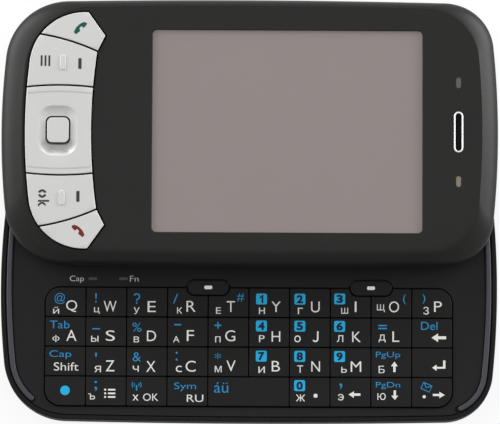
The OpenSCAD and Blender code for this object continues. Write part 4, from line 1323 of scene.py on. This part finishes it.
class SLIDERPHONE_OT_front_keys(bpy.types.Operator):
    """Makes the silver front keys with their marks"""
    bl_idname = "slider_phone.front_keys"
    bl_label = "Front keys"

    def execute(self, context):
        look = context.scene.phone_front_keys
        silver = painted("satin_silver", look.silver_colour, 0.34, grain=7000, bump=0.06, spread=0.03,
                         coat=0.15)
        # Near-black walls below each front key's rounded edge: painted shade, so the gaps round the silver
        # keys read black
        finishes = [silver, painted("key_side_black", (0.004, 0.004, 0.004), 0.8, bump=0.02, specular=0.05)]
        inks = {name: painted(f"front_{name}_ink", getattr(look, f"{name}_ink"), 0.5, bump=0.04, specular=0.1)
                for name in ("grey", "green", "red")}
        low, high = size_mm("call_key")
        top, bottom = high.z, low.z + 0.3
        move = (PAD_X, UPPER_Y)
        for name, part, side in (("call_key", "press", 1), ("end_key", "press", -1),
                                 ("start_rocker", "rocker", 1), ("ok_rocker", "rocker", -1)):
            key = Shape()
            outline = front_key_outline(part, side, look.gap / MM)
            key.plate(outline, [], bottom, top, look.lip / MM, wall=1)
            if part == "rocker":
                pill = rounded_box(1.25, 3.3, 0.6, 10, 8.15, side * 14.95)
                key.plate(pill, [], top - 0.1, top + 0.14, 0.13)
            make_piece(key, f"front_{name}", name, finishes, [name], move)
        self.make_pad(look, finishes, top, bottom, move)
        self.make_centre_key(finishes, top, move)
        self.make_rocker_marks(inks["grey"], top + INK_LIFT, move)
        self.make_handsets(inks, top + INK_LIFT, move)
        wear("nav_actuator", painted("clear_silicone", (0.55, 0.55, 0.53), 0.45, bump=0.1))
        return {"FINISHED"}

    def make_pad(self, look, finishes, top, bottom, move):
        """Navigation pad with a dish round the centre key, and two lines of painted crease shade on it."""
        gap, lip, depth = look.gap / MM, look.lip / MM, look.dish_depth / MM
        outline = front_key_outline("pad", 1, gap)
        rim = rounded_box(*DISH, 12, PAD_MIDDLE_X, -0.1)
        width, length_y, corner = CENTRE_KEY
        hole = rounded_box(width + 2.6 * gap, length_y + 2.6 * gap, corner + gap, 12, PAD_MIDDLE_X, 0)
        pad = Shape()
        pad.edge(outline, bottom, top, lip, wall=1)
        pad.fill(drawn_in(outline, lip), [rim], top)
        # Shallow at the sides, deeper at the far end and deepest at the near end
        reach = DISH[1] / 2
        depths = [depth * (0.35 + 0.45 * max(0, y / reach) ** 2 + 1.5 * max(0, -y / reach) ** 4)
                  for _, y in rim]
        rows = []
        for i in range(DISH_STEPS + 1):
            t = i / DISH_STEPS
            sink = (1 - (1 - t) ** 2.2) * min(1, t / 0.16) ** 0.8
            ring = [(a[0] + (b[0] - a[0]) * t, a[1] + (b[1] - a[1]) * t) for a, b in zip(rim, hole)]
            rows.append((ring, [top - d * sink for d in depths]))
        pad.stack(rows)
        # Wall down into the centre key's hole in the near-black painted shade finish
        pad.stack([rows[-1], (hole, bottom)], 1)
        pad.fill(outline, [hole], bottom, facing_down=True)
        make_piece(pad, "front_nav_pad", "nav_pad", finishes, ["nav_pad"], move, smooth=40)
        # Two thin strips of darker silver: painted shade standing for two creases across the pad
        lines = Shape()
        radius = INNER_SPLIT[2] - 1.42
        half = math.degrees(math.asin((PAD_MIDDLE_X + 0.3) / radius)) * 0.93
        for side in (1, -1):
            bow = arc(*bulge_centre(INNER_SPLIT, side), radius, side * 90 - half, side * 90 + half, 30)
            strip_line(lines, bow, 0.34, top + INK_LIFT / 2, 0)
        shade = painted("silver_shade", [c * 0.80 for c in look.silver_colour], 0.4, bump=0.04)
        make_print(lines, "nav_pad_lines", "nav_pad", [shade], move)

    def make_centre_key(self, finishes, top, move):
        """Key in the middle of the navigation pad."""
        key = Shape()
        bottom = size_mm("centre_key")[0].z
        key.plate(rounded_box(*CENTRE_KEY, 12, PAD_MIDDLE_X, 0), [], bottom, top, 0.14, wall=1)
        make_piece(key, "front_centre_key", "centre_key", finishes, ["centre_key"], move)

    def make_rocker_marks(self, ink, z, move):
        """Bars and a dash on one rocker, the letters ok and a dash on the other."""
        start, ok = Shape(), Shape()
        for row in (-1, 0, 1):
            start.fill(rounded_box(0.42, 2.4, 0.12, 3, 4.35 + row * 0.85, 15.3), [], z)
        start.fill(rounded_box(0.72, 2.4, 0.15, 3, 11.9, 14.7), [], z)
        make_print(start, "marks_start_rocker", "start_rocker", [ink], move)
        for start_angle in (15, 195):
            strip_line(ok, arc(3.90, -14.05, 0.69, start_angle, start_angle + 150, 14), 0.5, z, 0)
        lettering = Lettering()
        lettering.write(ok, "k", 4.21, -16.2, 1.5, 2.44, z, 0, -90, weight=0.03)
        lettering.close()
        ok.fill(rounded_box(0.72, 2.4, 0.15, 3, 11.7, -14.65), [], z)
        make_print(ok, "marks_ok_rocker", "ok_rocker", [ink], move)

    def make_handsets(self, inks, z, move):
        """A green handset on the call key and a red one on the end key."""
        for name, ink, side, middle in (("call_key", "green", 1, (11.97, 22.55)),
                                        ("end_key", "red", -1, (11.76, -22.25))):
            outline = [(x * side, y) for x, y in HANDSET][::side]
            handset = Shape()
            handset.fill(shifted(outline, *middle), [], z)
            make_print(handset, f"mark_{name}", name, [inks[ink]], move)


class SLIDERPHONE_OT_screen(bpy.types.Operator):
    """Gives the touch screen and the display behind it their finishes"""
    bl_idname = "slider_phone.screen"
    bl_label = "Screen"

    def execute(self, context):
        look = context.scene.phone_screen
        glass = painted("unlit_screen", look.glass_colour, 0.42, grain=9000, bump=0.02, spread=0.012,
                        specular=0.3)
        wear("touch_screen", glass)
        bottom, top = FRONT_Z - FRONT_THICKNESS - 0.1, FRONT_Z - look.window_depth / MM
        face = Shape()
        face.slab(window_outline(look, 0.03), bottom, top)
        make_piece(face, "screen_face", "upper_half", [glass], (), (0, UPPER_Y))
        wear("display_module", painted("display_frame", (0.20, 0.21, 0.20), 0.4, bump=0.1))
        return {"FINISHED"}


class SLIDERPHONE_OT_earpiece(bpy.types.Operator):
    """Makes the bright slot ring with its dark mesh"""
    bl_idname = "slider_phone.earpiece"
    bl_label = "Earpiece"

    def execute(self, context):
        chrome = painted("bright_ring", (0.74, 0.74, 0.72), 0.4, bump=0.01, spread=0.02, metallic=0.2)
        cloth = painted("earpiece_mesh", (0.006, 0.006, 0.006), 0.8, grain=2600, bump=1.0, specular=0.1)
        top = EAR_HIGH.z
        ring = Shape()
        outer = rounded_box(RING_WIDTH, RING_LENGTH, 1.02, 14, EAR_X, 0)
        inner = rounded_box(RING_WIDTH - 2 * RING_BAND, RING_LENGTH - 2 * RING_BAND, 0.68, 14, EAR_X, 0)
        ring.plate(outer, [inner], top - 0.7, top, 0.16, hole_lip=0.14)
        ring.slab(rounded_box(1.4, 8.35, 0.69, 10, EAR_X, 0), top - 0.72, top - 0.5, 1)
        ring.slab(rounded_box(5, 11, 2.49, 14, EAR_X, 0), EAR_LOW.z, EAR_LOW.z + 2.0, 1)
        make_piece(ring, "earpiece_ring", "upper_half", [chrome, cloth], ["earpiece"], (0, UPPER_Y))
        return {"FINISHED"}


class SLIDERPHONE_OT_inner_parts(bpy.types.Operator):
    """Gives the rails, the battery and the main board their finishes"""
    bl_idname = "slider_phone.inner_parts"
    bl_label = "Inner parts"

    def execute(self, context):
        wear("guide_rails", brushed_metal("rail_steel", (0.55, 0.55, 0.56), 0.3))
        wear("battery", painted("battery_wrap", (0.05, 0.055, 0.07), 0.4, bump=0.1))
        wear("main_board", painted("board_green", (0.01, 0.07, 0.03), 0.35, grain=1500, bump=0.3, spread=0.3))
        self.make_socket()
        self.make_camera_lens()
        return {"FINISHED"}

    def make_camera_lens(self):
        """Ring and lens of the rear camera, in the hole of the rear shell."""
        ring = disc(CAMERA_X, CAMERA_Y, 2.95, 48)
        glass_edge, glass_z = drawn_in(ring, 1.3), 0.58
        lens = Shape()
        lens.stack([(ring, 0.75), (drawn_in(ring, 0.12), 0.35), (drawn_in(ring, 0.7), 0.35),
                    (glass_edge, glass_z)])
        lens.fill(glass_edge, [], glass_z, 1, facing_down=True)
        lens.fill(ring, [], 0.75)
        glass = painted("camera_glass", (0.006, 0.007, 0.012), 0.06, bump=0.0, specular=0.7, coat=1.0)
        metal = painted("camera_ring", (0.30, 0.30, 0.31), 0.25, bump=0.03, metallic=0.8)
        make_piece(lens, "camera_lens", "lower_half", [metal, glass])

    def make_socket(self):
        """Metal mouth of the data socket with its tongue, drawn from the end and turned to face it."""
        width, height, corner = SOCKET_MOUTH
        outer, inner = rounded_box(width, height, corner), rounded_box(width - 0.6, height - 0.6, 0.35)
        mouth, back = 0.5 - BODY_LENGTH / 2, 2.5 - BODY_LENGTH / 2
        floor = back - 0.2
        socket = Shape()
        socket.stack([(outer, back), (outer, mouth), (inner, mouth), (inner, floor)])
        socket.fill(inner, [], floor, 1)
        socket.fill(outer, [], back)
        socket.slab(rounded_box(5.4, 0.7, 0.1, 3), mouth + 0.3, floor - 0.01, 1)
        socket.points = [(depth, across, rise + SOCKET_Z) for across, rise, depth in socket.points]
        tin = painted("socket_metal", (0.50, 0.50, 0.49), 0.35, bump=0.04, metallic=0.8)
        dark = painted("socket_inside", (0.006, 0.006, 0.006), 0.6, bump=0.05, specular=0.1)
        make_piece(socket, "data_socket", "lower_half", [tin, dark], (), (0, LOWER_Y))


class SLIDERPHONE_OT_stage(bpy.types.Operator):
    """Sets the table, the soft light and the camera"""
    bl_idname = "slider_phone.stage"
    bl_label = "Stage"

    def execute(self, context):
        look = context.scene.phone_stage
        self.make_floor(look)
        self.make_sky(context.scene, look)
        for name, (bearing, height, depth) in LAMPS.items():
            self.make_lamp(f"{name}_lamp", bearing, height, depth, getattr(look, f"{name}_power"))
        self.make_camera(context.scene, look)
        context.scene.view_settings.view_transform = "Standard"
        return {"FINISHED"}

    def make_floor(self, look):
        """White table, a hair under the phone."""
        work = bmesh.new()
        bmesh.ops.create_grid(work, x_segments=40, y_segments=40, size=look.floor_size / 2)
        mesh = bpy.data.meshes.new("table")
        work.to_mesh(mesh)
        work.free()
        table = bpy.data.objects.new("table", mesh)
        table.location.z = -FLOOR_DROP
        bpy.context.scene.collection.objects.link(table)
        finish = painted("table_white", look.floor_colour, 0.7, grain=300, bump=0.02, spread=0.01,
                         specular=0.1)
        tree = finish.node_tree
        glow = add_node(tree, "Emission", {"Color": WHITE})
        part = add_node(tree, "Math", {0: seen_rays(tree), 1: FLOOR_GLOW}, operation="MULTIPLY")
        mix = add_node(tree, "MixShader", {
            "Fac": part.outputs["Value"],
            1: tree.nodes["Principled BSDF"].outputs["BSDF"],
            2: glow.outputs["Emission"],
        })
        feed(tree, tree.nodes["Material Output"], {"Surface": mix.outputs["Shader"]})
        mesh.materials.append(finish)

    def make_sky(self, scene, look):
        """Even soft light, seen as white."""
        world = bpy.data.worlds.new("studio")
        world.use_nodes = True
        scene.world = world
        tree = world.node_tree
        soft = tree.nodes["Background"]
        feed(tree, soft, {"Color": WHITE, "Strength": look.sky_strength})
        white = add_node(tree, "Background", {"Color": WHITE})
        mix = add_node(tree, "MixShader", {
            "Fac": seen_rays(tree),
            1: soft.outputs["Background"],
            2: white.outputs["Background"],
        })
        feed(tree, tree.nodes["World Output"], {"Surface": mix.outputs["Shader"]})

    def make_lamp(self, name, bearing, height, depth, watts):
        """Flat lamp aimed at the phone from a bearing and a height, in degrees."""
        lamp = bpy.data.lights.new(name, "AREA")
        lamp.shape = "RECTANGLE"
        lamp.size, lamp.size_y = LAMP_WIDTH, depth
        lamp.energy = watts
        holder = bpy.data.objects.new(name, lamp)
        turn, rise = math.radians(bearing), math.radians(height)
        away = Vector((math.cos(turn) * math.cos(rise), math.sin(turn) * math.cos(rise), math.sin(rise)))
        holder.location = away * LAMP_DISTANCE
        holder.rotation_euler = (-away).to_track_quat("-Z", "Y").to_euler()
        bpy.context.scene.collection.objects.link(holder)

    def make_camera(self, scene, look):
        """Camera at the photograph's angle, turned a little round its own line of sight."""
        camera = bpy.data.cameras.new("camera")
        camera.lens = look.camera_lens
        holder = bpy.data.objects.new("camera", camera)
        up, turn = look.camera_height, look.camera_turn
        towards = Vector((-math.sin(turn) * math.cos(up), -math.cos(turn) * math.cos(up), math.sin(up)))
        target = Vector(CAMERA_TARGET) * MM
        holder.location = target + towards * look.camera_distance
        right = (-towards).cross(Vector((0, 0, 1))).normalized()
        above = right.cross(-towards)
        c, s = math.cos(look.camera_roll), math.sin(look.camera_roll)
        x_axis, y_axis = c * right + s * above, c * above - s * right
        holder.matrix_world = Matrix((
            (x_axis.x, y_axis.x, towards.x, holder.location.x),
            (x_axis.y, y_axis.y, towards.y, holder.location.y),
            (x_axis.z, y_axis.z, towards.z, holder.location.z),
            (0, 0, 0, 1)))
        scene.collection.objects.link(holder)
        scene.camera = holder


def seen_rays(tree):
    """Socket that is 1 for camera, glossy and transmission rays."""
    rays = add_node(tree, "LightPath").outputs
    seen = rays["Is Camera Ray"]
    for kind in ("Is Glossy Ray", "Is Transmission Ray"):
        seen = add_node(tree, "Math", {0: seen, 1: rays[kind]}, operation="MAXIMUM").outputs["Value"]
    return seen


OPERATORS = [
    SLIDERPHONE_OT_lower_housing,
    SLIDERPHONE_OT_keyboard,
    SLIDERPHONE_OT_soft_keys,
    SLIDERPHONE_OT_upper_housing,
    SLIDERPHONE_OT_front_keys,
    SLIDERPHONE_OT_screen,
    SLIDERPHONE_OT_earpiece,
    SLIDERPHONE_OT_inner_parts,
    SLIDERPHONE_OT_stage,
]


class SLIDERPHONE_PT_panel(bpy.types.Panel):
    """Lists the pieces of the phone and the values they are made from"""
    bl_idname = "SLIDERPHONE_PT_panel"
    bl_label = "Slider phone"
    bl_space_type = "VIEW_3D"
    bl_region_type = "UI"
    bl_category = "Slider phone"

    def draw(self, context):
        for operator in OPERATORS:
            self.layout.operator(operator.bl_idname)
        for name, group in SETTINGS.items():
            box = self.layout.box()
            for value in group.__annotations__:
                box.prop(getattr(context.scene, name), value)


def register():
    """Registers the classes and gives the scene its values."""
    for group in SETTINGS.values():
        bpy.utils.register_class(group)
    for name, group in SETTINGS.items():
        setattr(bpy.types.Scene, name, PointerProperty(type=group))
    for operator in OPERATORS:
        bpy.utils.register_class(operator)
    bpy.utils.register_class(SLIDERPHONE_PT_panel)


def unregister():
    """Takes the classes and the values away again."""
    bpy.utils.unregister_class(SLIDERPHONE_PT_panel)
    for operator in reversed(OPERATORS):
        bpy.utils.unregister_class(operator)
    for name in SETTINGS:
        delattr(bpy.types.Scene, name)
    for group in reversed(SETTINGS.values()):
        bpy.utils.unregister_class(group)


def main():
    """Makes all pieces in order."""
    register()
    for operator in OPERATORS:
        group, name = operator.bl_idname.split(".")
        getattr(getattr(bpy.ops, group), name)()


if __name__ == "__main__":
    main()
